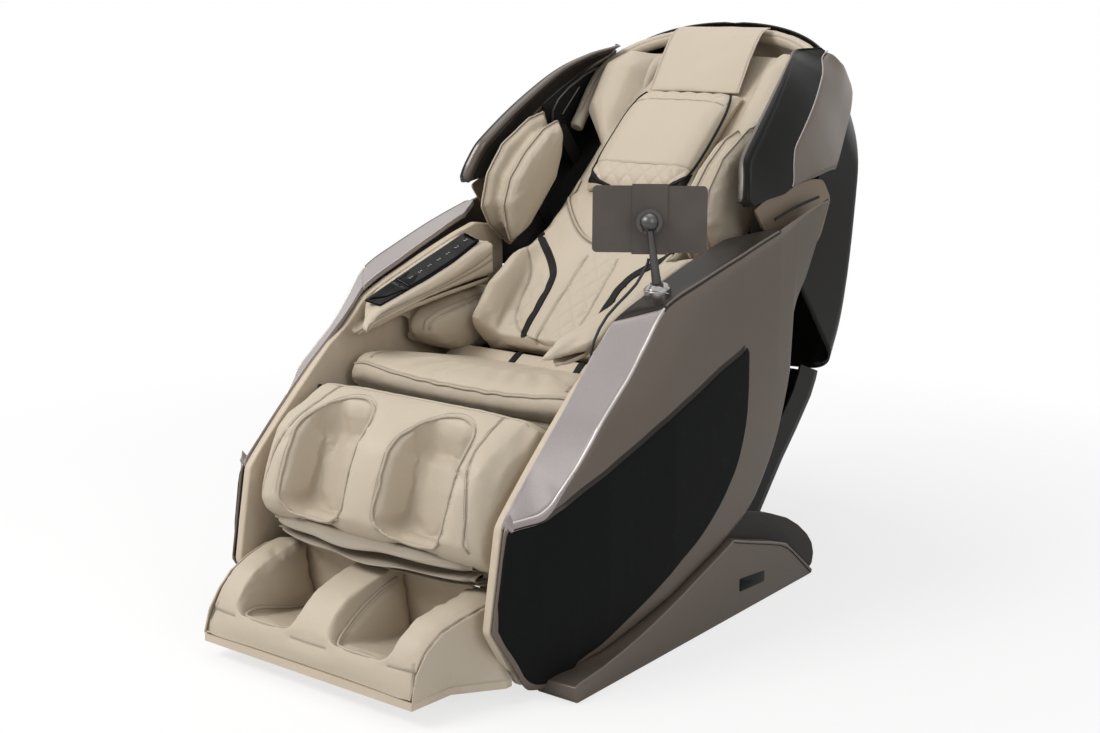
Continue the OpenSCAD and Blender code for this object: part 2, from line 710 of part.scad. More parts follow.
module legrest_motor() {
    color([0.15, 0.15, 0.16])
        translate([legrest_x, 0, 0])
            actuator_motor(pivot_legrest, knee + lever_legrest, 290);
}

module legrest_rod() {
    color("silver")
        translate([legrest_x, 0, 0])
            actuator_rod(pivot_legrest, knee + lever_legrest, 150);
}

// ---- Back ----

upright_x = 230;
rail_w_back = 22;
outrigger_up = [600, 640];
leaf_gap_x = 276;
leaf_plate_t = 4.4;
bar_gap = 0.1;
upright_top = 850 * back_share;
stay_up = [820, 850] * back_share;
stay_x = 190;
module back_frame() {
    rear = -rail_f + 24;
    front = -rail_f - 6;
    arm_rear = -rail_f + 18;
    side_x = hinge_x0 + hinge_t;
    plate_x = leaf_gap_x + seat_gap;
    tip_x = wing_out(outrigger_up[1], 170) - 0.7 * wing_t(outrigger_up[1]) - seat_gap;
    bar_end = upright_x - bar_gap;
    color([0.2, 0.2, 0.21]) {
        in_back() {
            both_sides() {
                block([upright_x, upright_x + 30], [front, rear], [-20, upright_top]);
                difference() {
                    union() {
                        block([hinge_x0, side_x], [-22, 22], [-24, 200]);
                        block([upright_x + 29, side_x], [-22, 22], [160, 200]);
                    }
                    rod_x(hinge_x0 - 1, side_x + 1, hinge_pin_d + 2 * run_gap);
                }
                // Outrigger that carries a wing round the edge of the hood
                block([upright_x + 29, 322], [front, arm_rear], outrigger_up);
                block([306, 322], [-170, arm_rear], outrigger_up);
                block([306, tip_x], [-170, -150], outrigger_up);
                // Bracket of the side panel, and plate between the two shoulder leaves
                block([upright_x + 29, side_panel_x - seat_gap], [front, arm_rear], [480, 504]);
                block([upright_x + 29, plate_x + leaf_plate_t], [front, arm_rear], [400, 430]);
                block([plate_x, plate_x + leaf_plate_t], [-235, arm_rear], [400, 430]);
                // Stays behind the pad
                block([stay_x, upright_x + 1], [-pad_rear_f + seat_gap, rear], stay_up);
            }
            block([-bar_end, bar_end], [-rail_f + 2, rear], [90, 120]);
            block([-stay_x + bar_gap, stay_x - bar_gap], [-rail_f + 2, rear], [stay_up[0], stay_up[0] + 30]);
        }
        // Lowest bar, and the lever on it that the recline rod turns
        union() {
            in_back() {
                block([-bar_end, bar_end], [front, rear], [-20, 10]);
                both_sides()
                    block([180, 212], [-pad_rear_f + seat_gap, rear], [3, 16]);
            }
            translate([recline_x, hip[0], hip[1]])
                for (x = [-20, 12])
                    side_plate(x, x + 8, [lever_recline + [-12, -10], lever_recline + [12, -10], [26, -20],
                        [14, 20], [-14, 10]]);
            translate([recline_x, hip[0] + lever_recline[0], hip[1] + lever_recline[1]])
                rod_x(-20, 20, actuator_pin_d);
        }
    }
}

rail_top = 900 * back_share;
module massage_rails() {
    color("silver")
        in_back()
            both_sides()
                difference() {
                    block([rail_x, rail_x + rail_w_back], [-rail_f - 30, -rail_f + 2 - seat_gap], [60, rail_top]);
                    block([rail_x - 1, rail_x + rail_w_back - 5], [-rail_f - 24, -rail_f - 6], [59, rail_top + 1]);
                }
}

// Rear cover: a hood that closes over the top, by sections up the back
cover_spring = 800 * back_share;
cover_roundness = 2.2;
// Half the width of the arch of the hood at a height, this far inside its outer edge
function arch_x(up, inset) = (cover_x - inset) * pow(1 - pow(max(0, up - cover_spring)
    / (back_len - cover_spring - inset), cover_roundness), 1 / cover_roundness);
cover_front = up_back([[445, -60], [600, 40], [700, 70], [800, 105], [860, 125], [920, 150], [1009, 172]]);
cover_rear = up_back([[445, -422], [523, -392], [607, -340], [738, -232], [856, -116], [897, -57], [932, 10],
    [960, 50], [985, 92], [1003, 130], [1009, 150]]);
cover_bow = 22;
cover_corner = 80;
cover_fold = [850, 985] * back_share;
module rear_cover() {
    ups = back_share * [445, 484, 523, 565, 607, 670, 738, 800, 830, 856, 878, 897, 915, 932, 948, 960, 972, 985, 995,
        1003, 1008];
    function row(up, shift) =
        let (fold = ease(cover_fold[0], cover_fold[1], up),
            half = max(8, arch_x(up + shift * fold * 0.9, 0)) - shift * (up < cover_fold[1] + 5 ? 1 : 0.5),
            front = lookup(up, cover_front), depth = front - lookup(up, cover_rear) - shift,
            corner = min(cover_corner, half * 0.8, depth * 0.8))
        [for (q = u_section(half, depth, corner, cover_bow * half / cover_x))
            back_point(q[0], up - shift * fold, front - q[1])];
    color([0.16, 0.14, 0.13])
        in_back()
            thick_patch([for (up = ups) row(up, 0)], [for (up = ups) row(up, cover_wall)]);
}

// Back pad: flat where the pillow lies, with bolsters that rise at its sides
pad_half = up_back([[0, 212], [230, 212], [260, 205], [600, 205], [650, 240], [700, 278], [1000, 278]]);
pad_rise = up_back([[0, 60], [100, 75], [200, 60], [300, 20], [400, 5], [600, 5], [700, 45], [816, 69], [880, 50],
    [945, -6]]);
pad_top = [925, 945] * back_share;
pad_rear_f = 80;
pad_front_f = 150;
module back_pad() {
    ups = back_share * [0, 8, 40, 100, 160, 200, 230, 260, 330, 400, 500, 600, 625, 650, 700, 760, 816, 850, 880, 905,
        925, 938, 945];
    flat = pillow_x + 6;
    function half(up) = min(lookup(up, pad_half), arch_x(up, rim_inset + rim_d / 2 + 5));
    function stations(up) =
        let (w = half(up), f = min(flat, w * 0.75),
            side = [for (k = [0, 0.25, 0.5, 0.75, 0.92, 1]) f + (w - f) * k])
        concat([for (k = [5 : -1 : 0]) -side[k]], [-f / 2, 0, f / 2], side);
    function front_f(x, up) = pad_front_f + lookup(up, pad_rise) * ease(flat, flat + 48, abs(x))
        - 26 * ease(0.9, 1, abs(x) / half(up)) - 26 * ease(8, 0, up) - 24 * ease(pad_top[0], pad_top[1], up);
    color([0.8, 0.74, 0.64])
        in_back()
            thick_patch([for (up = ups) [for (x = stations(up)) back_point(x, up, front_f(x, up))]],
                [for (up = ups) [for (x = stations(up)) back_point(x * 0.97, up, pad_rear_f)]]);
}

// Roll along the inside of the hood's rim
rim_inset = cover_wall + rim_d / 2 + 6;
rim_f = 163;
rim_start = 660 * back_share;
module head_rim() {
    power = 2 / cover_roundness;
    half = [for (up = [rim_start, 700 * back_share, 740 * back_share, 780 * back_share])
        [arch_x(up, rim_inset), up, lookup(up, up_back([[600, 120], [800, rim_f]]))]];
    arch = [for (a = [84 : -12 : -84]) [(cover_x - rim_inset) * sign(sin(a)) * pow(abs(sin(a)), power),
        cover_spring + (back_len - cover_spring - rim_inset) * pow(cos(a), power), rim_f]];
    route = [for (p = concat(half, arch, [for (k = [3 : -1 : 0]) [-half[k][0], half[k][1], half[k][2]]]))
        back_point(p[0], p[1], p[2])];
    color([0.8, 0.74, 0.64])
        in_back()
            sweep_tube(route, rim_d, 12, [0, 1, 0]);
}

pillow_up = [437, 765] * back_share;
module head_pillow() {
    base_f = pad_front_f + seat_gap;
    steps = [[0, 0.35], [0.06, 0.72], [0.18, 0.96], [0.4, 1], [0.65, 1], [0.85, 0.9], [0.95, 0.7], [1, 0.4]];
    us = [-1, -0.97, -0.88, -0.65, -0.3, 0, 0.3, 0.65, 0.88, 0.97, 1];
    function up_at(share) = pillow_up[0] + (pillow_up[1] - pillow_up[0]) * share;
    color([0.82, 0.76, 0.66])
        in_back()
            thick_patch([for (s = steps) [for (u = us) back_point(u * pillow_x, up_at(s[0]),
                    base_f + pillow_t * s[1] * (1 - 0.55 * ease(0.8, 1, abs(u))))]],
                [for (s = steps) [for (u = us) back_point(u * (pillow_x - 4), up_at(s[0]), base_f)]]);
}

flap_t = 7;
flap_x = 128;
module head_flap() {
    curve = concat([[pillow_up[1] + seat_gap, 172]],
        up_back([[800, 182], [850, 196], [900, 206], [935, 208], [958, 200], [972, 190]]));
    function row(p, f) = [for (u = [-1, -0.5, 0, 0.5, 1]) back_point(u * flap_x, p[0], p[1] + f)];
    color([0.8, 0.74, 0.64])
        in_back()
            thick_patch([for (p = curve) row(p, 0)], [for (p = curve) row(p, -flap_t)]);
}

// Shoulder airbags: two leaves side by side under each wing
leaf_out = [[595, 262], [540, 292], [428, 318], [340, 306], [272, 262], [262, 200], [285, 112], [340, 100], [420, 112],
    [520, 160], [580, 215]];
leaf_in = [[576, 256], [520, 282], [428, 292], [350, 286], [290, 255], [262, 205], [250, 165], [300, 150], [380, 154],
    [470, 162], [532, 195], [570, 230]];
module shoulder_airbags() {
    in_back() {
        leaf_pad([for (p = leaf_out) [-p[1], p[0]]], leaf_gap_x + leaf_plate_t + 2 * seat_gap, liner_x - 2, 0.84);
        leaf_pad([for (p = leaf_in) [-p[1], p[0]]], 222, leaf_gap_x, 0.8);
    }
}

module left_shoulder_airbags() {
    color([0.8, 0.74, 0.64])
        shoulder_airbags();
}

module right_shoulder_airbags() {
    color([0.8, 0.74, 0.64])
        mirror([1, 0, 0])
            shoulder_airbags();
}

// Wings: a shell that stands out at the shoulder and closes in to the rim above the head.
// At a height up the back, its front edge, the split between its two covers and its rear edge
wing_front_f = [[330, 277], [344, 292], [372, 308], [425, 326], [510, 320], [604, 308], [706, 289], [800, 256],
    [867, 220], [906, 190]];
wing_split_f = [[330, 274], [389, 235], [478, 185], [521, 214], [556, 227], [650, 220], [769, 203], [906, 180]];
wing_rear_f = [[478, 184], [582, 111], [643, 67], [660, 52], [780, 46], [899, 53], [918, 84]];
// Distance from the middle of a wing's outer face, along its front edge and along its rear part
wing_front_x = [[330, -9], [372, -21], [425, -39], [510, -53], [604, -71], [706, -95], [800, -130], [867, -161], [906, -115]];
wing_rear_x = [[330, 0], [480, -1], [580, -5], [660, -15], [770, -40], [850, -58], [900, -74], [930, -88]];
wing_inside = [[330, 30], [600, 26], [800, 14], [918, 9]];
function wing_out(up, f) =
    let (k = max(0, min(1, (f - 100) / (lookup(up, wing_front_f) - 100))), rear = lookup(up, wing_rear_x))
    wing_x + rear + (lookup(up, wing_front_x) - rear) * pow(k, 3);
function wing_t(up) = lookup(up, wing_inside) * wing_thick / 30;
function between(a, b, n) = [for (k = [0 : n]) a + (b - a) * k / n];

// Patch of the wing from one edge to another, as thick as the stretch between two depths under its outer face
module wing_patch(ups, edge_a, edge_b, depth0, depth1) {
    function row(up, depth) = [for (f = between(edge_a(up), edge_b(up), 5)) back_point(wing_out(up, f) - depth, up, f)];
    in_back()
        thick_patch([for (up = ups) row(up, depth0(up))], [for (up = ups) row(up, depth1(up))]);
}

wing_seam = 0.6;
module wing_front() {
    wing_patch([332, 340, 350, 372, 389, 425, 478, 500, 521, 556, 604, 650, 706, 769, 800, 840, 867, 890, 903],
        function(up) lookup(up, wing_split_f) + wing_seam, function(up) lookup(up, wing_front_f),
        function(up) 0, function(up) wing_t(up));
}

module left_wing_front() {
    color([0.08, 0.09, 0.08])
        wing_front();
}

module right_wing_front() {
    color([0.08, 0.09, 0.08])
        mirror([1, 0, 0])
            wing_front();
}

module wing_rear_panels() {
    color([0.4, 0.36, 0.33])
        both_sides()
            wing_patch([482, 500, 521, 556, 604, 643, 660, 706, 769, 820, 860, 899, 906],
                function(up) lookup(up, wing_rear_f), function(up) lookup(up, wing_split_f) - wing_seam,
                function(up) 0, function(up) wing_t(up) * 0.7);
}

module wing_lips() {
    color("silver")
        both_sides()
            wing_patch([336, 350, 372, 425, 478, 521, 556, 604, 660, 706, 769],
                function(up) lookup(up, wing_front_f) - 18 * ease(330, 380, up) - 3, function(up) lookup(up, wing_front_f) - 2,
                function(up) wing_t(up) + 0.6, function(up) wing_t(up) + 6);
}

module speaker_panels() {
    color([0.05, 0.05, 0.05])
        both_sides()
            wing_patch([650, 680, 706, 769, 800, 840, 870],
                function(up) lookup(up, wing_split_f) + 2, function(up) lookup(up, wing_front_f) - 27 + 8 * ease(706, 870, up),
                function(up) wing_t(up) + 1.3, function(up) wing_t(up) + 7);
}

side_panel_x = wing_x - 21;
module back_side_panels() {
    color([0.42, 0.38, 0.35])
        in_back()
            both_sides()
                side_plate(side_panel_x, side_panel_x + 6, [for (p = [[352, 245], [389, 232], [478, 182], [567, 116], [600, 80],
                    [600, 20], [520, -12], [470, -12], [400, 90], [350, 180]]) [-p[1], p[0]]]);
}

// ---- Massage mechanism ----

unit_up = 130;
unit_h = 190;
shaft_up = unit_up + unit_h / 2;
shaft_f = rail_f - 18;
shaft_d = 16;
module massage_carriage() {
    half = rail_x - 8;
    color([0.25, 0.25, 0.27])
        in_back()
            difference() {
                union() {
                    block([-half, half], [-rail_f + 50, -rail_f + 60], [unit_up, unit_up + unit_h]);
                    both_sides() {
                        block([half - 10, half], [-rail_f - 22, -rail_f + 60], [unit_up, unit_up + unit_h]);
                        for (z = [unit_up + 10, unit_up + unit_h - 40])
                            block([half - 1, rail_x + rail_w_back - 5 - seat_gap], [-rail_f - 24 + seat_gap, -rail_f - 6 - seat_gap],
                                [z, z + 30]);
                    }
                    // Motors on the rear plate
                    for (x = [-100, 50])
                        block([x, x + 50], [-rail_f + 59, -rail_f + 110], [unit_up + 30, unit_up + 150]);
                }
                translate([0, -shaft_f, shaft_up])
                    rod_x(-half - 1, half + 1, shaft_d + 2 * run_gap);
            }
}

hub_x = 60;
module kneading_shaft() {
    half = rail_x - 8;
    color("silver")
        in_back()
            translate([0, -shaft_f, shaft_up])
                union() {
                    rod_x(-half, half, shaft_d);
                    rod_x(-18, 18, 44);
                }
}

yoke_f = 50 - shaft_f;
roller_up = 62;
roller_axle_d = 10;
roller_f = pad_rear_f - 6 - roller_d / 2;
module roller_yoke() {
    color([0.85, 0.85, 0.83])
        in_back()
            difference() {
                both_sides()
                    for (x = [hub_x, hub_x + 40])
                        union() {
                            translate([0, -shaft_f, shaft_up])
                                rod_x(x, x + 8, 44);
                            for (s = [-1, 1])
                                side_plate(x, x + 8, [[-shaft_f - 4, shaft_up - 20 * s], [-shaft_f + 8, shaft_up + 18 * s],
                                    [-roller_f + 12, shaft_up + (roller_up + 6) * s], [-roller_f - 10, shaft_up + (roller_up + 10) * s],
                                    [-roller_f - 11, shaft_up + (roller_up - 10) * s]]);
                        }
                translate([0, -shaft_f, shaft_up])
                    rod_x(-140, 140, shaft_d + 2 * run_gap);
                for (s = [-1, 1])
                    translate([0, -roller_f, shaft_up + roller_up * s])
                        rod_x(-140, 140, roller_axle_d + 2 * run_gap);
            }
}

module roller_pair(s) {
    color([0.55, 0.56, 0.58])
        in_back()
            translate([0, -roller_f, shaft_up + roller_up * s])
                union() {
                    rod_x(-hub_x - 50, hub_x + 50, roller_axle_d);
                    both_sides()
                        rod_x(hub_x + 9, hub_x + 39, roller_d);
                }
}

module upper_rollers() {
    roller_pair(1);
}

module lower_rollers() {
    roller_pair(-1);
}

// ---- Leg rest ----

leg_tube = 24;
module legrest_frame() {
    color([0.2, 0.2, 0.21])
        union() {
            in_leg() {
                both_sides() {
                    difference() {
                        block([knee_leg_x0, knee_leg_x0 + knee_lug_t], [-20, 30], [-60, 20]);
                        rod_x(knee_leg_x0 - 1, knee_leg_x0 + knee_lug_t + 1, hinge_pin_d + 2 * run_gap);
                    }
                    block([216, knee_leg_x0 + 1], [14, 30], [-60, -36]);
                    block([216, 216 + leg_tube], [14, 30], [-37, -10]);
                    // Outer tube of the footrest slide
                    difference() {
                        block([216, 216 + leg_tube], [12, 12 + leg_tube], [-262, -36]);
                        block([219 - seat_gap, 213 + leg_tube + seat_gap], [15 - seat_gap, 9 + leg_tube + seat_gap], [-263, -40]);
                    }
                }
                block([-217, 217], [14, 30], [-24, -6]);
            }
            // Lever that the leg-rest rod turns
            translate([legrest_x, knee[0], knee[1]]) {
                for (x = [-20, 12])
                    side_plate(x, x + 8, [lever_legrest + [-14, -8], lever_legrest + [10, -8], lever_legrest + [12, 12],
                        [20, -22], [4, -26]]);
                translate([0, lever_legrest[0], lever_legrest[1]])
                    rod_x(-20, 20, actuator_pin_d);
            }
        }
}

module calf_shell() {
    color([0.1, 0.1, 0.1])
        in_leg()
            difference() {
                block([-calf_x + 14, calf_x - 14], [6, 11.5], [-262, -62]);
                block([-40, 40], [5, 13], [-120, -61]);
            }
}

// Profile of the calf rest from its top rear edge over the front to its lower rear edge, as [y, z]
calf_profile = [[-14, 34], [-60, 31], [-104, -20], [-140, -62], [-157, -100], [-158, -150], [-153, -210], [-146, -248],
    [-116, -268], [-60, -275], [-4, -272]];
function calf_trough(x) = let (a = abs(x) / calf_x) ease(0.17, 0.26, a) * (1 - ease(0.66, 0.76, a));
module calf_cushion() {
    xs = [-1, -0.97, -0.9, -0.78, -0.74, -0.68, -0.6, -0.45, -0.3, -0.24, -0.18, -0.1, 0, 0.1, 0.18, 0.24, 0.3, 0.45, 0.6,
        0.68, 0.74, 0.78, 0.9, 0.97, 1];
    n = len(calf_profile);
    along = [0, 0, 0.1, 0.45, 0.9, 1, 1, 1, 0.6, 0.2, 0];
    function front(u, k) =
        let (p = calf_profile[k], round = 40 * ease(0.86, 1, abs(u)), cut = trough_depth * calf_trough(u * calf_x) * along[k],
            reach = max(0, -p[0] - 30) / 130)
        [u * calf_x, p[0] + (cut + round) * min(1, reach * 1.4), p[1] + (k < 3 ? -round * 0.5 : 0)];
    color([0.8, 0.74, 0.64])
        in_leg()
            thick_patch([for (u = xs) [for (k = [0 : n - 1]) front(u, k)]],
                [for (u = xs) [for (k = [0 : n - 1]) [u * (calf_x - 6), 5.5, 24 - 286 * k / (n - 1)]]]);
}

// Leather gusset that hangs between the calf rest and the footrest
module calf_gusset() {
    color([0.7, 0.64, 0.55])
        in_leg()
            block([-230, 230], [-96, -2], [-286, calf_profile[9][1] - seat_gap]);
}

// ---- Footrest ----

foot_rear_y = -560;
foot_base_z = 35;
foot_profile = [[-803, foot_base_z], [-798, 70], [-784, 113], [-756, 148], [-719, 174], [-670, 188], [-620, 196], [-588, 200],
    [-556, 192]];
function foot_well(a) = ease(46, 60, a) * (1 - ease(188, 204, a));
module foot_cushion() {
    xs = [-1, -0.92, -0.84, -0.73, -0.7, -0.67, -0.58, -0.44, -0.3, -0.22, -0.19, -0.16, -0.1, 0, 0.1, 0.16, 0.19, 0.22, 0.3, 0.44,
        0.58, 0.67, 0.7, 0.73, 0.84, 0.92, 1];
    n = len(foot_profile);
    // How far down the wells reach at each point of the profile
    floor_z = [0, 0, 113, 96, 84, 74, 68, 66, 66];
    function top(u, k) =
        let (p = foot_profile[k], w = foot_well(abs(u) * foot_x), z = k < 2 ? p[1] : p[1] + (floor_z[k] - p[1]) * w,
            side = 10 * ease(0.9, 1, abs(u)) * (k > 1 ? 1 : 0), wide = foot_x + 24 * ease(-780, -590, p[0]))
        [u * wide, p[0], z - side];
    color([0.8, 0.74, 0.64])
        thick_patch([for (u = xs) [for (k = [0 : n - 1]) top(u, k)]],
            [for (u = xs) [for (k = [0 : n - 1]) let (p = foot_profile[k], wide = foot_x + 24 * ease(-780, -590, p[0]))
                [u * (wide - 2), p[0] + 3 * (1 - k / (n - 1)), foot_base_z + 14.5]]]);
}

// Roller trough under the soles
sole_y = -650;
sole_z = foot_base_z + 1;
sole_half = 212;
sole_axle_d = 8;
foot_back_y = foot_rear_y + 4 + seat_gap;
module footrest_shell() {
    half = foot_x - 4;
    color([0.1, 0.1, 0.1])
        union() {
            difference() {
                union() {
                    // Floor plate, flared at its rear
                    translate([0, 0, foot_base_z - 1])
                        linear_extrude(15)
                            polygon([[-half, -798], [half, -798], [half + 8, -700], [346, -616], [346, -600], [half + 24, -592],
                                [half + 20, foot_rear_y], [-half - 20, foot_rear_y], [-half - 24, -592], [-346, -600],
                                [-346, -616], [-half - 8, -700]]);
                    block([-sole_half - 6, sole_half + 6], [sole_y - 20, sole_y + 20], [sole_z - 16, foot_base_z + 13]);
                }
                block([-sole_half, sole_half], [sole_y - 15, sole_y + 15], [sole_z - 13, foot_base_z + 20]);
                translate([0, sole_y, sole_z])
                    rod_x(-sole_half - 7, sole_half + 7, sole_axle_d + 2 * run_gap);
            }
            // Rear plate and the inner tubes of the footrest slide
            block([-250, 250], [foot_back_y, foot_back_y + 5], [foot_base_z, 186]);
            block([-250, 250], [foot_rear_y - 1, foot_back_y + 1], [foot_base_z, foot_base_z + 13]);
            both_sides()
                block([219, 213 + leg_tube], [foot_back_y + 1, foot_back_y + 16], [126, 176]);
            in_leg()
                both_sides()
                    block([219, 213 + leg_tube], [15, 9 + leg_tube], [-318, -120]);
        }
}

module foot_rollers() {
    color([0.3, 0.3, 0.3])
        translate([0, sole_y, sole_z])
            union() {
                rod_x(-sole_half - 5, sole_half + 5, sole_axle_d);
                both_sides()
                    for (x = [70, 110, 150])
                        rod_x(x, x + 24, sole_roller_d);
            }
}

// ---- Tablet stand ----

// The stand leans forward, square to the arm's top: its own z runs up the stem
stand_x = 358;
stand_y = -150;
stand_lean = 13;
stem_len = 147;
stem_spigot_d = 20;
foot_h = 14;
// Height and slopes of the arm's top under the stand
arm_in_z = lookup(stand_y, arm_edge);
arm_out_z = lookup(stand_y, shell_ridge);
arm_w = lookup(stand_y, ridge_x) - lookup(stand_y, arm_in);
stand_z = arm_in_z + (arm_out_z - arm_in_z) * (stand_x - lookup(stand_y, arm_in)) / arm_w + 1.5;
arm_pitch = atan2(lookup(stand_y + 30, arm_edge) - lookup(stand_y - 30, arm_edge), 60);
arm_roll = atan2(arm_in_z - arm_out_z, arm_w);
module in_stand() {
    translate([stand_x, stand_y, stand_z])
        rotate([stand_lean, 0, 0])
            children();
}

// Turn and tilt of the tablet about the ball: y runs towards the sitter, out of the screen
tablet_yaw = 33;
tablet_tilt = -8;
module in_holder() {
    in_stand()
        translate([0, 0, stem_len])
            rotate([-stand_lean, 0, 0])
                rotate([0, 0, tablet_yaw])
                    rotate([tablet_tilt, 0, 0])
                        children();
}

// Disc on the arm's top, cut to its slopes
module stand_foot() {
    color("silver")
        difference() {
            in_stand()
                union() {
                    translate([0, 0, -8])
                        cylinder(h = foot_h + 4, d = stand_foot_d);
                    translate([0, 0, foot_h - 4 - eps])
                        cylinder(h = 4, d1 = stand_foot_d, d2 = stand_foot_d - 10);
                }
            in_stand()
                translate([0, 0, 3])
                    cylinder(h = foot_h, d = stem_spigot_d + 2 * run_gap);
            translate([stand_x, stand_y, stand_z - 0.5])
                rotate([arm_pitch, arm_roll, 0])
                    block([-50, 50], [-50, 50], [-30, 0]);
        }
}

module tablet_stem() {
    color("silver")
        in_stand()
            union() {
                translate([0, 0, 3 + seat_gap])
                    cylinder(h = foot_h - 3, d = stem_spigot_d);
                translate([0, 0, foot_h + seat_gap - eps])
                    cylinder(h = 6, d = stem_spigot_d + 6);
                translate([0, 0, foot_h + 6])
                    cylinder(h = stem_len - foot_h - 6, d1 = 19, d2 = 11);
                translate([0, 0, stem_len])
                    sphere(d = ball_d);
            }
}

ring_d = ball_d + 14;
ring_y = [2, ball_d / 2 + 1];
ball_gap = 0.3;
module tablet_ring() {
    color("silver")
        in_holder()
            difference() {
                translate([0, ring_y[0], 0])
                    rotate([-90, 0, 0])
                        cylinder(h = ring_y[1] - ring_y[0], d = ring_d);
                sphere(d = ball_d + 2 * ball_gap);
                block([-14, 14], [ring_y[0] - 1, ring_y[1] - 2], [-ring_d, -4]);
            }
}

band_w = 70;
band_t = 2.5;
plate_y = ring_y[1] + seat_gap;
plate_t = 16;
tablet_y = plate_y + plate_t + band_t + seat_gap;
tablet_up = 6;
lip_h = 3;
module tablet_holder() {
    half = tablet_h / 2 + seat_gap;
    color("silver")
        in_holder()
            union() {
                translate([0, plate_y, 0])
                    rotate([-90, 0, 0])
                        cylinder(h = plate_t + eps, d = ring_d - 8);
                block([-band_w / 2, band_w / 2], [plate_y + plate_t, tablet_y - seat_gap], [tablet_up - half, tablet_up + half]);
                for (s = [-1, 1])
                    let (z0 = tablet_up + s * half - (s < 0 ? lip_h : 0))
                    union() {
                        block([-band_w / 2, band_w / 2], [plate_y + plate_t, tablet_y + tablet_t + seat_gap + 2], [z0, z0 + lip_h]);
                        block([-band_w / 2 + 8, band_w / 2 - 8], [tablet_y + tablet_t + seat_gap, tablet_y + tablet_t + seat_gap + 2],
                            [z0 - (s > 0 ? 4 : 0), z0 + lip_h + (s > 0 ? 0 : 4)]);
                    }
            }
}

module tablet() {
    r = 9;
    color([0.3, 0.28, 0.26])
        in_holder()
            translate([0, tablet_y + tablet_t, tablet_up])
                rotate([90, 0, 0])
                    linear_extrude(tablet_t)
                        union() {
                            square([tablet_w - 2 * r, tablet_h], center = true);
                            square([tablet_w, tablet_h - 2 * r], center = true);
                            for (x = [-1, 1], y = [-1, 1])
                                translate([x * (tablet_w / 2 - r), y * (tablet_h / 2 - r)])
                                    circle(r);
                        }
}

// Lead from the neck of the stem over the liner's edge and into its inner face
cable_d = 6;
cable_route = [[346, -166, 780], [345, -167, 772], [342, -171, 760], [338, -179, 747], [335, -191, 732],
    [330, -215, 714], [325, -242, 697], [319, -266, 678], [314, -284, 656], [311, -298, 633], [310, -306, 611],
    [312, -308, 598], [316, -308, 595], [liner_x - seat_gap, -308, 595]];
module tablet_cable() {
    color("black")
        sweep_tube(cable_route, cable_d, 8, [0, 1, 0.3]);
}

base_frame();
base_rails();
skid_covers();
skid_rear_caps();
base_feet();
power_panel();
power_rocker();
control_box();
air_pump();
left_transport_wheel();
right_transport_wheel();
seat_frame();
rail_blocks();
seat_cushion();
left_side_shell();
right_side_shell();
side_inlay_panels();
inner_liners();
left_arm_pad();
right_arm_pad();
arm_airbags();
control_panel();
stand_foot();
lower_rear_cover();
recline_motor();
recline_rod();
legrest_motor();
legrest_rod();
back_frame();
massage_rails();
rear_cover();
back_pad();
head_rim();
head_pillow();
head_flap();
left_shoulder_airbags();
right_shoulder_airbags();
left_wing_front();
right_wing_front();
wing_rear_panels();
wing_lips();
speaker_panels();
back_side_panels();
massage_carriage();
kneading_shaft();
roller_yoke();
upper_rollers();
lower_rollers();
legrest_frame();
calf_shell();
calf_cushion();
calf_gusset();
footrest_shell();
foot_cushion();
foot_rollers();
tablet_stem();
tablet_ring();
tablet_holder();
tablet();
tablet_cable();
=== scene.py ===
"""Dresses the massage chair: leather cushions, painted shells, stand and stage, around its fixed frame."""

import math

import bmesh
import bpy
import numpy as np
from bpy.props import FloatProperty, FloatVectorProperty, IntProperty, PointerProperty
from mathutils import Matrix, Vector
from mathutils.bvhtree import BVHTree


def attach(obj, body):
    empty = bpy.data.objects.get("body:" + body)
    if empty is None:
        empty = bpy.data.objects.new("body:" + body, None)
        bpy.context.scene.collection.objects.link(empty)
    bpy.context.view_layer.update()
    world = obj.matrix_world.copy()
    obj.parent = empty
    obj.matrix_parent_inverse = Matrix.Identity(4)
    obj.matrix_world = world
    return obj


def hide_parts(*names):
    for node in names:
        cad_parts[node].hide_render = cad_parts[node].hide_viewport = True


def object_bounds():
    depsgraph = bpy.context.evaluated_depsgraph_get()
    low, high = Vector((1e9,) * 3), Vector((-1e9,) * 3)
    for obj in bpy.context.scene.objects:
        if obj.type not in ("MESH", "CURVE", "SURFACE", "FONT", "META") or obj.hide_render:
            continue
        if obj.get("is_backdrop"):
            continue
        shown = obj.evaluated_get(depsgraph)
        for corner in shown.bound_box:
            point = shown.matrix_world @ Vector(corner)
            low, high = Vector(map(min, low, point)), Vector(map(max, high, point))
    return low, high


bl_info = {
    "name": "Massage Chair Dressing",
    "version": (1, 0, 0),
    "blender": (4, 5, 0),
    "location": "View3D > Sidebar > Chair",
    "description": "Leather, painted shells and trim of a reclining massage chair",
    "category": "Object",
}

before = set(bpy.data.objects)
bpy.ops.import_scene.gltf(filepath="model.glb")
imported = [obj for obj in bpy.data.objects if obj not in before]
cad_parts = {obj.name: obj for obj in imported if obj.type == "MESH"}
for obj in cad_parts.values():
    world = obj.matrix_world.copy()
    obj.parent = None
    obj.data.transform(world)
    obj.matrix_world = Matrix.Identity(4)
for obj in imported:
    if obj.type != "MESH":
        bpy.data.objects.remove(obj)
CAD_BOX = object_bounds()

# Hinges of the frame, seen from the side, and the lean of the back and of the leg rest, in mm and degrees
HIP = (60.0, 430.0)
KNEE = (-415.0, 455.0)
BACK_LEAN = math.radians(49)
CALF_LEAN = math.radians(27)
SIDES = {"left": 1, "right": -1}
MM = 0.001

# Lengths in metres that several pieces share
LAY_STEP = 0.004
THREAD = 0.00042
STITCH_GAP = 0.0042
STRIPE_WIDTH = 0.023
LINING_WALL = 0.0012
PAD_REAR = 0.0815

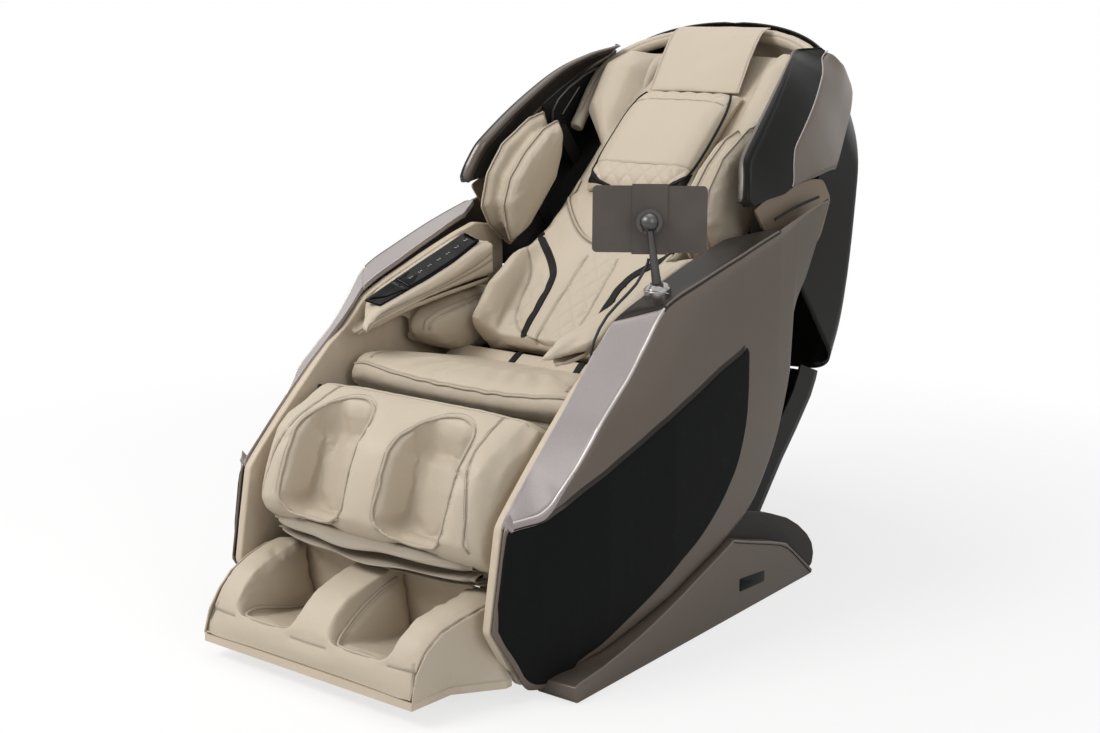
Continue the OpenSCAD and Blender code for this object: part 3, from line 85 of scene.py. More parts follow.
# The cover's cloth while it swells: stiffness along, across and in bending, its weight and its drag
COVER_PULL, COVER_SHEAR, COVER_BEND, COVER_MASS, COVER_DRAG = 22, 12, 2.5, 0.35, 2.0
SEAM_HOLD, SEAM_REACH = 0.0065, 0.012

# The view: a camera 1100 points wide, its place, its turn and its tilt in degrees
VIEW_POINTS, VIEW_FOCUS, VIEW_SHIFT, SENSOR = 1100, 1642.5, 1.9, 36
VIEW_AT, VIEW_TURN, VIEW_TILT = (2.127, -2.815, 1.277), 37.45, 12.56

# The studio's lamps: name, place, what it is aimed at, size, power and tint
SURROUND = 0.34
LAMPS = [
    ("key", (-1.5, -3.0, 3.5), (0, -0.1, 0.5), (1.9, 1.6), 115, (1, 0.985, 0.965)),
    ("side", (3.6, -1.2, 2.2), (0, 0, 0.5), (1.6, 2.0), 26, (1, 1, 1)),
    ("far side", (-2.8, -1.6, 2.4), (0, 0, 0.6), (1.8, 1.8), 16, (1, 1, 1)),
    ("top", (0, 0.6, 3.6), (0, 0, 0.4), (2.4, 2.4), 32, (1, 1, 1)),
]


def mm(x, y, z):
    """A place in the frame, from millimetres."""
    return Vector((x * MM, y * MM, z * MM))


def on_back(x, up, front):
    """A point of the backrest from its distance out of the middle, up the back and towards the sitter."""
    s, c = math.sin(BACK_LEAN), math.cos(BACK_LEAN)
    return mm(x, HIP[0] + up * s - front * c, HIP[1] + up * c + front * s)


def on_leg(x, y, z):
    """A point of the leg rest from its place out of the middle, forward and up before it leans."""
    s, c = math.sin(CALF_LEAN), math.cos(CALF_LEAN)
    return mm(x, KNEE[0] + y * c + z * s, KNEE[1] - y * s + z * c)


def mix(a, b, k):
    """The value a share k of the way from a to b."""
    return a + (b - a) * k


def clamp(k, low=0.0, high=1.0):
    return max(low, min(high, k))


def ease(a, b, x):
    """Goes from 0 at a to 1 at b, level at both ends."""
    k = clamp((x - a) / (b - a))
    return k * k * (3 - 2 * k)


def line(pairs):
    """A straight-sided curve through the pairs."""
    xs, ys = [p[0] for p in pairs], [p[1] for p in pairs]
    return lambda x: float(np.interp(x, xs, ys))


def flow(pairs):
    """A smooth curve through the pairs that doesn't overshoot them."""
    xs, ys = [float(p[0]) for p in pairs], [float(p[1]) for p in pairs]
    step = [(ys[i + 1] - ys[i]) / (xs[i + 1] - xs[i]) for i in range(len(xs) - 1)]
    slope = [step[0]]
    for a, b in zip(step, step[1:]):
        slope.append(0.0 if a * b <= 0 else 2 * a * b / (a + b))
    slope.append(step[-1])

    def at(x):
        x = clamp(x, xs[0], xs[-1])
        i = max(k for k in range(len(xs) - 1) if xs[k] <= x) if x > xs[0] else 0
        width = xs[i + 1] - xs[i]
        t = (x - xs[i]) / width
        return (
            (2 * t**3 - 3 * t**2 + 1) * ys[i]
            + (t**3 - 2 * t**2 + t) * width * slope[i]
            + (3 * t**2 - 2 * t**3) * ys[i + 1]
            + (t**3 - t**2) * width * slope[i + 1]
        )

    return at


def spaced(path, step):
    """Points a step apart along a path, ends kept."""
    path = [Vector(p) for p in path]
    run = [0.0]
    for a, b in zip(path, path[1:]):
        run.append(run[-1] + (b - a).length)
    count = max(1, round(run[-1] / step))
    found, k = [], 0
    for i in range(count + 1):
        want = run[-1] * i / count
        while k < len(path) - 2 and run[k + 1] < want:
            k += 1
        span = max(run[k + 1] - run[k], 1e-9)
        found.append(path[k].lerp(path[k + 1], clamp((want - run[k]) / span)))
    return found


def rounded(path, rounds=2):
    """The path with its corners cut, ends kept."""
    path = [Vector(p) for p in path]
    for _ in range(rounds):
        cut = [path[0]]
        for a, b in zip(path, path[1:]):
            cut += [a.lerp(b, 0.25), a.lerp(b, 0.75)]
        path = cut + [path[-1]]
    return path


# ---- Sizes and colours that a user would change ----


def colour(name, words, value):
    return FloatVectorProperty(
        name=name, description=words, subtype="COLOR", size=3, min=0, max=1, default=value
    )


def length(name, words, value, low=0.0, high=0.1):
    return FloatProperty(
        name=name, description=words, default=value, min=low, max=high, unit="LENGTH"
    )


class ChairColours(bpy.types.PropertyGroup):
    leather: colour("Leather", "Cream leather of the cushions", (0.520, 0.448, 0.350))
    liner: colour("Liner", "Cream boards inside the arms", (0.56, 0.475, 0.37))
    bronze: colour("Bronze", "Paint of the side shells and skids", (0.128, 0.104, 0.085))
    silver: colour("Silver", "Paint of the arm faces and wing lips", (0.30, 0.268, 0.262))
    charcoal: colour("Charcoal", "Soft black of the side inlays", (0.0075, 0.0082, 0.0080))
    gloss: colour("Gloss black", "Lacquered wings and hood", (0.010, 0.0095, 0.009))
    arm_top: colour("Arm top", "Dark top of the arms behind the bend", (0.026, 0.022, 0.0185))
    chrome: colour("Chrome", "Polished metal of the tablet stand", (0.40, 0.385, 0.375))
    tablet: colour("Tablet", "Anodised back of the tablet", (0.085, 0.072, 0.064))


class ChairSizes(bpy.types.PropertyGroup):
    seam_depth: length("Seam depth", "How deep a sewn seam sits in a cushion", 0.0024)
    seam_width: length("Seam width", "Half the width of a seam's crease", 0.0030, 0.001)
    piping: length("Piping", "Radius of the piping along an edge", 0.0022, 0.0005)
    stitch: length("Stitch", "Length of one stitch", 0.0042, 0.001)
    grain: length("Grain", "Size of a pebble of the leather's grain", 0.0011, 0.0003)
    swell: length("Swell", "How far a cushion may swell in the simulation", 0.007)
    voxel: length("Remesh", "Size of the faces that cushions are simulated on", 0.006, 0.003)
    swell_steps: IntProperty(
        name="Swell steps", description="Frames that a cushion swells for", default=18, min=1, max=40
    )


def sizes():
    return bpy.context.scene.chair_sizes


def colours():
    return bpy.context.scene.chair_colours


# ---- Finishes ----


class Wire:
    """The output of a shader node, which adds Math nodes when it is used in a sum."""

    def __init__(self, paint, socket):
        self.paint, self.socket = paint, socket

    def _math(self, operation, *values):
        return self.paint.node("Math", {"operation": operation}, dict(enumerate(values)))

    def __add__(self, other):
        return self._math("ADD", self, other)

    def __radd__(self, other):
        return self._math("ADD", other, self)

    def __sub__(self, other):
        return self._math("SUBTRACT", self, other)

    def __rsub__(self, other):
        return self._math("SUBTRACT", other, self)

    def __mul__(self, other):
        return self._math("MULTIPLY", self, other)

    def __rmul__(self, other):
        return self._math("MULTIPLY", other, self)

    def __truediv__(self, other):
        return self._math("DIVIDE", self, other)

    def __rtruediv__(self, other):
        return self._math("DIVIDE", other, self)

    def __pow__(self, other):
        return self._math("POWER", self, other)

    def within(self, low, high):
        """0 below low, 1 above high and a straight rise between them."""
        return self.paint.node(
            "MapRange", {"clamp": True}, {"Value": self, "From Min": low, "From Max": high}
        )


class Paint:
    """A finish: a material with one principled shader and whatever feeds it."""

    def __init__(self, name, fixed):
        self.mat = bpy.data.materials.new(name)
        self.mat.use_nodes = True
        self.tree = self.mat.node_tree
        self.shader = self.tree.nodes["Principled BSDF"]
        for socket, value in fixed.items():
            self.shader.inputs[socket].default_value = value
        self.place = self.node("TexCoord", out="Object")

    def node(self, kind, settings=None, sockets=None, out=0):
        node = self.tree.nodes.new("ShaderNode" + kind)
        for key, value in (settings or {}).items():
            setattr(node, key, value)
        for key, value in (sockets or {}).items():
            self.feed(node.inputs[key], value)
        return Wire(self, node.outputs[out])

    def feed(self, socket, value):
        if isinstance(value, Wire):
            self.tree.links.new(value.socket, socket)
        elif socket.type == "RGBA" and len(value) == 3:
            socket.default_value = (*value, 1)
        else:
            socket.default_value = value

    def give(self, **values):
        for key, value in values.items():
            self.feed(self.shader.inputs[key.replace("_", " ")], value)
        return self.mat

    def cloud(self, scale, detail=3.0, stretch=(1, 1, 1), distortion=0.0):
        """Soft patches of 0 to 1, scale of them to the metre."""
        place = self.place
        if stretch != (1, 1, 1):
            place = self.node("Mapping", sockets={"Vector": place, "Scale": stretch})
        return self.node(
            "TexNoise",
            sockets={"Vector": place, "Scale": scale, "Detail": detail, "Distortion": distortion},
        )

    def cells(self, size, feature="F1"):
        """Pebbles of that size: 0 in the middle of each."""
        return self.node(
            "TexVoronoi", {"feature": feature}, {"Vector": self.place, "Scale": 1.0 / size}
        )

    def shade(self, k, a, b):
        """Colour a where k is 0, b where it is 1."""
        return self.node("Mix", {"data_type": "RGBA"}, {0: k, 6: a, 7: b}, out=2)

    def bump(self, height, depth, strength=1.0, over=None):
        sockets = {"Height": height, "Distance": depth, "Strength": strength}
        if over:
            sockets["Normal"] = over
        return self.node("Bump", sockets=sockets)


def tone(colour, k):
    """The colour made lighter or darker."""
    return tuple(clamp(c * k) for c in colour)


def leather(name, tint, rough=0.43, dark=0.5, level=0.42):
    """Pebbled leather, darker in its creases and duller where it is handled."""
    paint = Paint(name, {"Specular IOR Level": level})
    patches = paint.cloud(6, 4)
    pores = paint.cells(sizes().grain)
    folds = paint.cloud(38, 3, distortion=1.4)
    crease = paint.node("Attribute", {"attribute_name": "crease"}, out="Fac")
    body = paint.shade(patches, tone(tint, 0.93), tone(tint, 1.06))
    body = paint.shade(pores.within(0.3, 0.9) * 0.35, body, tone(tint, 0.82))
    # Painted shade: the crease mask darkens the leather where seams and folds sink in.
    crease_shaded = paint.shade(crease, body, tone(tint, dark))
    relief = paint.bump(folds, 0.0016, 0.45)
    relief = paint.bump(pores, 0.0004, 0.35, relief)
    return paint.give(
        Base_Color=crease_shaded, Roughness=rough + patches * 0.09 + pores * 0.05 + crease * 0.2, Normal=relief
    )


def lacquer(name, tint, metal=0.0, rough=0.3, coat=0.5, flake=0.0, level=0.5, ripple=0.05):
    """Sprayed paint under clear coat: a little flake, faint orange peel and dust towards the bottom."""
    paint = Paint(
        name,
        {
            "Coat Roughness": 0.08,
            "Specular IOR Level": level,
            "Coat Weight": coat,
            "Metallic": metal,
        },
    )
    patches = paint.cloud(5, 4)
    flakes = paint.cells(0.0016)
    peel = paint.cloud(260, 2)
    body = paint.shade(patches, tone(tint, 0.94), tone(tint, 1.05))
    if flake:
        body = paint.shade(flakes.within(0.15, 0.6) * flake, tone(tint, 1.25), body)
    scuffs = paint.cloud(24, 5, (1, 1, 3)).within(0.62, 0.8)
    return paint.give(
        Base_Color=body,
        Roughness=rough + patches * 0.06 + scuffs * 0.08,
        Normal=paint.bump(peel, 0.0002, ripple),
    )


def moulded(name, tint, rough=0.5, grit=0.0012, depth=0.0003, level=0.4):
    """Moulded plastic or rubber with a spark-eroded grain and faint flow marks."""
    paint = Paint(name, {"Specular IOR Level": level})
    flow_marks = paint.cloud(9, 4, (1, 3, 1))
    grain = paint.cells(grit)
    rub = paint.cloud(40, 5).within(0.6, 0.78)
    body = paint.shade(flow_marks, tone(tint, 0.9), tone(tint, 1.1))
    body = paint.shade(rub * 0.3, body, tone(tint, 1.35))
    return paint.give(
        Base_Color=body,
        Roughness=rough + flow_marks * 0.08 + grain * 0.06 - rub * 0.1,
        Normal=paint.bump(grain, depth, 0.5),
    )


def metal(name, tint, rough=0.3, metallic=1.0, brushed=(1, 1, 24), scratch=0.25):
    """Bare, plated or powder-coated metal, with its brushing or drawing lines and handled spots."""
    paint = Paint(name, {"Metallic": metallic})
    lines = paint.cloud(60, 4, brushed)
    stains = paint.cloud(12, 5)
    body = paint.shade(stains.within(0.35, 0.75), tone(tint, 1.05), tone(tint, 0.8))
    return paint.give(
        Base_Color=body,
        Roughness=rough + lines * 0.12 + stains * 0.1,
        Normal=paint.bump(lines, 0.0002, scratch),
    )


def thread(name, tint):
    """Sewing thread: a tight twist across its length."""
    paint = Paint(name, {"Specular IOR Level": 0.3, "Sheen Weight": 0.2})
    twist = paint.cloud(1500, 2)
    return paint.give(
        Base_Color=paint.shade(twist, tone(tint, 0.75), tone(tint, 1.15)),
        Roughness=0.6 + twist * 0.2,
        Normal=paint.bump(twist, 0.0002, 0.4),
    )


def glass_face(name):
    """The dark face of a screen, with finger marks."""
    paint = Paint(name, {"Coat Weight": 0.02, "Coat Roughness": 0.05, "Specular IOR Level": 0.07})
    marks = paint.cloud(30, 5, (1, 1, 2)).within(0.5, 0.75)
    return paint.give(
        Base_Color=paint.shade(marks, (0.004, 0.004, 0.0045), (0.009, 0.009, 0.0095)),
        Roughness=0.06 + marks * 0.12,
    )


def make_finishes():
    c = colours()
    cream, black = tuple(c.leather), tuple(c.gloss)
    return {
        "cream leather": leather("cream leather", cream),
        "quilted leather": leather("quilted leather", tone(cream, 0.99), 0.46),
        "black leather": leather("black leather", (0.009, 0.0085, 0.008), 0.4, 0.4, 0.14),
        "piping": leather("black piping", (0.010, 0.009, 0.0085), 0.42, 0.5, 0.14),
        # Painted highlight for the arm ridge, much lighter than the silver paint.
        "edge": metal("painted ridge highlight", (0.62, 0.57, 0.55), 0.3, 0.7, (1, 1, 1), 0.05),
        "shroud": moulded("black lining cloth", (0.012, 0.0115, 0.011), 0.8, 0.0015, 0.0004, 0.1),
        "cream piping": leather("cream piping", tone(cream, 0.86), 0.42),
        "stitching": thread("cream stitching", tone(cream, 0.62)),
        "dark stitching": thread("dark stitching", (0.03, 0.027, 0.024)),
        "liner": moulded("cream liner board", tuple(c.liner), 0.5, 0.0014, 0.00025),
        "bronze": lacquer("bronze shell paint", tuple(c.bronze), 0.45, 0.34, 0.12, 0.5, 0.3),
        "silver": lacquer("silver arm paint", tuple(c.silver), 0.45, 0.38, 0.12, 0.6, 0.3),
        "charcoal": moulded("soft black inlay", tuple(c.charcoal), 0.55, 0.0009, 0.0002, 0.06),
        "gloss": lacquer("gloss black lacquer", black, 0.0, 0.3, 0.03, 0.0, 0.08, 0.03),
        "arm top": lacquer("dark arm top", tuple(c.arm_top), 0.25, 0.3, 0.05, 0.3, 0.12),
        "chrome": metal("polished chrome", tuple(c.chrome), 0.12, 1.0, (1, 1, 2), 0.05),
        "satin": metal("satin stand metal", tone(tuple(c.chrome), 0.26), 0.26, 1.0, (1, 1, 30), 0.15),
        "wing edge": lacquer("satin wing edge", (0.105, 0.090, 0.080), 0.5, 0.3, 0.15, 0.4, 0.35),
        "tan": lacquer("tan side plate", (0.200, 0.155, 0.108), 0.3, 0.34, 0.12, 0.4, 0.3),
        "gusset": leather("folded gusset leather", tone(cream, 0.62), 0.5),
        "tablet": metal("anodised tablet back", tuple(c.tablet), 0.36, 0.55, (1, 1, 1), 0.05),
        "screen": glass_face("tablet glass"),
        "panel": glass_face("touch panel face"),
        "icons": moulded("pale panel marks", (0.62, 0.6, 0.56), 0.4),
        "seam line": moulded("panel joint shadow", (0.012, 0.011, 0.010), 0.7),
        "crease": moulded("seam shadow", tone(cream, 0.45), 0.7),
        "dark plastic": moulded("dark brown plastic", (0.022, 0.019, 0.017), 0.46),
        "black plastic": moulded("black housing plastic", (0.014, 0.014, 0.014), 0.5),
        "rear gloss": lacquer("rear cover lacquer", (0.011, 0.0095, 0.0085), 0.0, 0.26, 0.05, 0.0, 0.12,
        0.05),
        "mesh": moulded("speaker mesh cloth", (0.012, 0.011, 0.011), 0.75, 0.0018, 0.0008),
        "frame": metal("black powder coat", (0.018, 0.018, 0.019), 0.42, 0.35, (1, 1, 1), 0.3),
        "zinc": metal("zinc plated steel", (0.42, 0.42, 0.41), 0.3),
        "rod": metal("ground steel rod", (0.5, 0.5, 0.5), 0.18, 1.0, (12, 12, 1), 0.1),
        "rubber": moulded("black rubber", (0.016, 0.016, 0.016), 0.7, 0.0016, 0.0005, 0.25),
        "nylon": moulded("white roller nylon", (0.62, 0.61, 0.57), 0.42),
        "grey nylon": moulded("grey roller rubber", (0.16, 0.16, 0.16), 0.55),
        "rocker": moulded("red rocker plastic", (0.42, 0.018, 0.014), 0.32),
        "cable": moulded("black cable sheath", (0.014, 0.014, 0.014), 0.45, 0.0008, 0.0002),
    }


PAINT = {}


def coat(piece, *finishes):
    piece.data.materials.clear()
    for name in finishes:
        piece.data.materials.append(PAINT[name])


# ---- Making pieces ----


def field(cols, rows, place):
    """A sheet of cols by rows faces, each corner put in its place from its share across and along."""
    bm = bmesh.new()
    bmesh.ops.create_grid(bm, x_segments=cols, y_segments=rows, size=1)
    for v in bm.verts:
        v.co = place((v.co.x + 1) / 2, (v.co.y + 1) / 2)
    return bm


def facing_out(bm, inside):
    """Turns the faces away from a point inside the chair."""
    bmesh.ops.recalc_face_normals(bm, faces=bm.faces[:])
    total = sum((f.calc_center_median() - inside).normalized().dot(f.normal) * f.calc_area()
        for f in bm.faces)
    if total < 0:
        bmesh.ops.reverse_faces(bm, faces=bm.faces[:])
    return bm


def linked(name, data):
    """A new object in the scene."""
    obj = bpy.data.objects.new(name, data)
    bpy.context.scene.collection.objects.link(obj)
    return obj


def add_object(name, mesh, body, slot, finishes, stands_for=(), sharp=35):
    obj = linked(name, mesh)
    coat(obj, *finishes)
    mesh.shade_smooth()
    if sharp:
        mesh.set_sharp_from_angle(angle=math.radians(sharp))
    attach(obj, body)
    if stands_for:
        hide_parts(*stands_for)
    return obj


def piece(bm, name, body, slot, finishes, stands_for=(), sharp=35):
    mesh = bpy.data.meshes.new(name)
    bm.normal_update()
    bm.to_mesh(mesh)
    bm.free()
    return add_object(name, mesh, body, slot, finishes, stands_for, sharp)


def walled(obj, wall, offset=-1.0):
    """Gives a sheet its thickness, behind its face."""
    m = obj.modifiers.new("Wall", "SOLIDIFY")
    m.thickness, m.offset, m.use_even_offset = wall, offset, True
    return obj


def softened(obj, width, segments=2, angle=30):
    """Rounds the edges that are sharper than the angle."""
    m = obj.modifiers.new("Edges", "BEVEL")
    m.width, m.segments, m.angle_limit, m.harden_normals = width, segments, math.radians(angle), True
    m.limit_method = "ANGLE"
    return obj


def board(loop, shift):
    """A flat face through the loop's points, made solid by a shift."""
    bm = bmesh.new()
    face = bm.faces.new([bm.verts.new(p) for p in loop])
    grown = bmesh.ops.extrude_face_region(bm, geom=[face])["geom"]
    bmesh.ops.translate(bm, verts=[g for g in grown if isinstance(g, bmesh.types.BMVert)], vec=shift)
    return bm


def slab(outline, near, far, soft=0.004, segments=3):
    """A board with a rounded outline in the (y, z) plane, from x = near to x = far, in mm."""
    bm = board([mm(near, y, z) for y, z in outline], mm(far - near, 0, 0))
    bmesh.ops.recalc_face_normals(bm, faces=bm.faces[:])
    rim = [e for e in bm.edges if e.calc_face_angle(0) > math.radians(40)]
    if soft:
        bmesh.ops.bevel(
            bm, geom=rim, offset=soft, segments=segments, affect="EDGES", profile=0.5, material=-1,
            clamp_overlap=True
        )
    return bm


def plain_mesh(curve, name):
    """The mesh of a curve, which is then taken away."""
    holder = linked(name, curve)
    graph = bpy.context.evaluated_depsgraph_get()
    mesh = bpy.data.meshes.new_from_object(holder.evaluated_get(graph), depsgraph=graph)
    mesh.name = name
    bpy.data.objects.remove(holder)
    bpy.data.curves.remove(curve)
    return mesh


def round_line(paths, radius, rounds=1, name="line"):
    """A round bar along each path, its ends filled."""
    curve = bpy.data.curves.new(name, "CURVE")
    curve.dimensions, curve.use_fill_caps = "3D", True
    curve.bevel_depth, curve.bevel_resolution = radius, rounds
    for path in paths:
        spline = curve.splines.new("POLY")
        spline.points.add(len(path) - 1)
        for point, at in zip(spline.points, path):
            point.co = (*at, 1)
    return curve


def tube(paths, radius, name, body, slot, finish, rounds=2, stands_for=()):
    mesh = plain_mesh(round_line(paths, radius, rounds), name)
    return add_object(name, mesh, body, slot, [finish], stands_for, 50)


def stitches(paths, name, body, finish="stitching"):
    """A row of stitches along each path."""
    found = []
    for path in paths:
        spots = spaced(path, sizes().stitch * 1.5)
        for a, b in zip(spots, spots[1:]):
            found.append([a, a.lerp(b, 0.33), a.lerp(b, 0.68)])
    mesh = plain_mesh(round_line(found, THREAD, 0), name)
    return add_object(name, mesh, body, "cream_leather", [finish], (), 60)


class Skin:
    """The surface of a piece, for laying seams and trim on it."""

    def __init__(self, *pieces):
        corners, faces = [], []
        for obj in pieces:
            start = len(corners)
            corners += [v.co.copy() for v in obj.data.vertices]
            faces += [[start + i for i in p.vertices] for p in obj.data.polygons]
        self.tree = BVHTree.FromPolygons(corners, faces)

    def hit(self, point, towards):
        """Where a look from the point in that direction meets the surface, and which way it faces."""
        at, normal, _, _ = self.tree.ray_cast(point, towards.normalized())
        if at is None:
            at, normal, _, _ = self.tree.find_nearest(point)
        return at, normal

    def lay(self, path, towards, lift=0.0):
        """The path dropped on the surface along one direction."""
        found = []
        for p in spaced(path, LAY_STEP):
            at, normal = self.hit(p, towards)
            found.append(at + normal * lift)
        return steady(found, 2)

    def beside(self, path, gap, lift=0.0):
        """A path that runs on the surface at a gap beside another that lies on it."""
        found = []
        for i, p in enumerate(path):
            way = path[min(i + 1, len(path) - 1)] - path[max(i - 1, 0)]
            _, normal, _, _ = self.tree.find_nearest(p)
            side = way.normalized().cross(normal)
            at, normal, _, _ = self.tree.find_nearest(p + side * gap)
            found.append(at + normal * lift)
        return found


def strip(skin, path, width, lift, cols=6):
    """A flat band laid on a surface along a path, its edges turned down into it."""
    path = spaced(path, 0.006)
    ways = [path[min(i + 1, len(path) - 1)] - path[max(i - 1, 0)] for i in range(len(path))]

    def place(u, v):
        i = round(v * (len(path) - 1))
        _, normal, _, _ = skin.tree.find_nearest(path[i])
        side = ways[i].normalized().cross(normal)
        across = (u - 0.5) * width
        at, normal, _, _ = skin.tree.find_nearest(path[i] + side * across)
        return at + normal * (lift if 0.01 < u < 0.99 else -0.0025)

    return field(cols, len(path) - 1, place)


# ---- Soft pieces ----


def soft_copy(name, nodes, voxel, trim, shape=None):
    """The cushion's solid as one closed skin of even faces, a little smaller than the solid."""
    bm = bmesh.new()
    for node in nodes:
        bm.from_mesh(bpy.data.objects[node].data)
    bmesh.ops.remove_doubles(bm, verts=bm.verts[:], dist=0.00002)
    mesh = bpy.data.meshes.new(name)
    bm.to_mesh(mesh)
    bm.free()
    obj = linked(name, mesh)
    even_faces(obj, voxel)
    if shape:
        set_corners(obj, shape(corners(obj), normals(obj)))
        even_faces(obj, voxel)
    bm = bmesh.new()
    bm.from_mesh(obj.data)
    bm.normal_update()
    for v in bm.verts:
        v.co -= v.normal * trim
    for _ in range(3):
        bmesh.ops.smooth_vert(bm, verts=bm.verts[:], factor=0.5, use_axis_x=True, use_axis_y=True,
            use_axis_z=True)
    bm.to_mesh(obj.data)
    bm.free()
    return obj


def even_faces(obj, voxel):
    """Remeshes the piece as one closed skin."""
    m = obj.modifiers.new("Skin", "REMESH")
    m.mode, m.voxel_size, m.adaptivity = "VOXEL", voxel, 0
    bake_modifiers(obj)


def bake_modifiers(obj):
    """Keeps what the modifiers make as the piece's own mesh."""
    graph = bpy.context.evaluated_depsgraph_get()
    mesh = bpy.data.meshes.new_from_object(obj.evaluated_get(graph), depsgraph=graph)
    obj.modifiers.clear()
    obj.data = mesh


def corners(obj):
    """The places of the mesh's corners, one row each."""
    flat = np.empty(len(obj.data.vertices) * 3)
    obj.data.vertices.foreach_get("co", flat)
    return flat.reshape(-1, 3)


def normals(obj):
    """The way that each corner faces, one row each."""
    flat = np.empty(len(obj.data.vertices) * 3)
    obj.data.vertices.foreach_get("normal", flat)
    return flat.reshape(-1, 3)


def set_corners(obj, points):
    obj.data.vertices.foreach_set("co", np.asarray(points, dtype=np.float32).ravel())
    obj.data.update()


def nearness(points, path_points, reach):
    """How far each point is from the nearest point of the paths, up to reach."""
    far = np.full(len(points), reach)
    if len(path_points) == 0:
        return far
    low = points.min(axis=0) - reach
    keys = {}
    for q in path_points:
        keys.setdefault(tuple(((q - low) / reach).astype(int)), []).append(q)
    index = ((points - low) / reach).astype(int)
    order = np.lexsort(index.T)
    index_sorted = index[order]
    breaks = np.flatnonzero(np.any(np.diff(index_sorted, axis=0), axis=1)) + 1
    for group in np.split(order, breaks):
        i, j, k = index[group[0]]
        close = [
            q
            for a in (-1, 0, 1)
            for b in (-1, 0, 1)
            for c in (-1, 0, 1)
            for q in keys.get((i + a, j + b, k + c), ())
        ]
        if close:
            gaps = np.linalg.norm(points[group][:, None] - np.array(close)[None], axis=2)
            far[group] = np.minimum(gaps.min(axis=1), reach)
    return far


def swell(obj, seams, cap, pressure=4.0):
    """Blows the cushion up like a stuffed cover, held down along its seams."""
    rest = corners(obj).copy()
    held = nearness(rest, seams, SEAM_REACH)
    group = obj.vertex_groups.new(name="held")
    for i in np.flatnonzero(held < SEAM_HOLD):
        group.add([int(i)], 1.0, "REPLACE")
    m = obj.modifiers.new("Cover", "CLOTH")
    s = m.settings
    s.quality, s.mass, s.air_damping = 4, COVER_MASS, COVER_DRAG
    s.tension_stiffness = s.compression_stiffness = COVER_PULL
    s.shear_stiffness, s.bending_stiffness = COVER_SHEAR, COVER_BEND
    s.use_pressure, s.uniform_pressure_force = True, pressure
    s.effector_weights.gravity = 0
    s.vertex_group_mass = "held"
    s.pin_stiffness = 2.0
    m.collision_settings.use_collision = False
    steps = sizes().swell_steps
    m.point_cache.frame_start, m.point_cache.frame_end = 1, steps
    scene = bpy.context.scene
    for step in range(1, steps + 1):
        scene.frame_set(step)
    bake_modifiers(obj)
    scene.frame_set(1)
    moved = corners(obj) - rest
    size = np.linalg.norm(moved, axis=1)
    set_corners(obj, rest + moved * np.minimum(1, cap / np.maximum(size, 1e-9))[:, None])
    obj.vertex_groups.clear()


def finer(obj):
    """Rounds the mesh once."""
    m = obj.modifiers.new("Finer", "SUBSURF")
    m.levels = m.render_levels = 1
    bake_modifiers(obj)


def sink(obj, paths, depth, width, puff=0.0, wide=0.02, mark=1.0):
    """Presses seams into a cushion, with the leather rounding down to them, and marks the crease."""
    points = np.array([tuple(p) for path in paths for p in spaced(path, 0.002)])
    at, out = corners(obj), normals(obj)
    gap = nearness(at, points, max(wide * 2, width * 3))
    fall = depth * np.exp(-((gap / width) ** 2)) + puff * np.exp(-((gap / wide) ** 2))
    fall[gap >= max(wide * 2, width * 3) - 1e-6] = 0
    set_corners(obj, at - out * fall[:, None])
    if "crease" not in obj.data.attributes:
        obj.data.attributes.new("crease", "FLOAT", "POINT")
    marks = obj.data.attributes["crease"].data
    old = np.empty(len(marks))
    marks.foreach_get("value", old)
    # The crease mark is the mask of the painted shade in the leather.
    new = np.maximum(old, np.exp(-((gap / (width * 0.8)) ** 2)) * mark)
    marks.foreach_set("value", new.astype(np.float32))


def wrinkle(obj, centre, along, across, height, waves, length, width):
    """A few soft folds across a spot of a cushion, dying away from it."""
    at, out = corners(obj), normals(obj)
    d = at - np.array(centre)
    a, b = d @ np.array(along.normalized()), d @ np.array(across.normalized())
    fade = np.exp(-((a / length) ** 2) - (b / width) ** 2)
    wave = np.cos(b / width * waves + 0.9 * np.sin(a / length * 2.1))
    set_corners(obj, at + out * (height * fade * wave)[:, None])


def cushion(name, nodes, body, seams=(), finishes=("cream leather",), voxel=None, cap=None, trim=0.004,
    pressure=4.0, shape=None):
    """A stuffed cover made from its solid: swollen, smoothed and declared, ready for its seams."""
    obj = soft_copy(name, nodes, voxel or sizes().voxel, trim, shape)
    points = np.array([tuple(p) for path in seams for p in spaced(path, 0.003)]) if seams else np.empty((0,
        3))
    swell(obj, points, cap or sizes().swell, pressure)
    finer(obj)
    obj.data.shade_smooth()
    coat(obj, *finishes)
    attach(obj, body)
    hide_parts(*nodes)
    obj.data.attributes.new("crease", "FLOAT", "POINT")
    return obj


def steady(path, passes=4):
    """The path with its small wobbles taken out, ends kept."""
    path = [p.copy() for p in path]
    for _ in range(passes):
        path = [path[0]] + [(a + b * 2 + c) / 4 for a, b, c in zip(path, path[1:], path[2:])] + [path[-1]]
    return path


def sewn(obj, paths, name, body, rows=1, finish="stitching", depth=None, puff=0.0, wide=0.02,
    line=True):
    """A seam: its crease, the dark line in it, and a row of stitches on one side or on both."""
    s = sizes()
    sink(obj, paths, depth or s.seam_depth, s.seam_width, puff, wide, 0.5)
    skin = Skin(obj)
    laid = [steady([skin.tree.find_nearest(p)[0] for p in spaced(steady(path), LAY_STEP)], 10)
        for path in paths]
    # The dark line is a painted shadow along the bottom of the seam.
    if line:
        tube(laid, THREAD, name + "_line", body, "cream_leather", "crease", 0)
    if rows:
        sides = [skin.beside(p, g, 0.0002) for p in laid for g in (STITCH_GAP, -STITCH_GAP)[:rows]]
        stitches(sides, name + "_stitches", body, finish)
    return skin


# ---- The shells ----

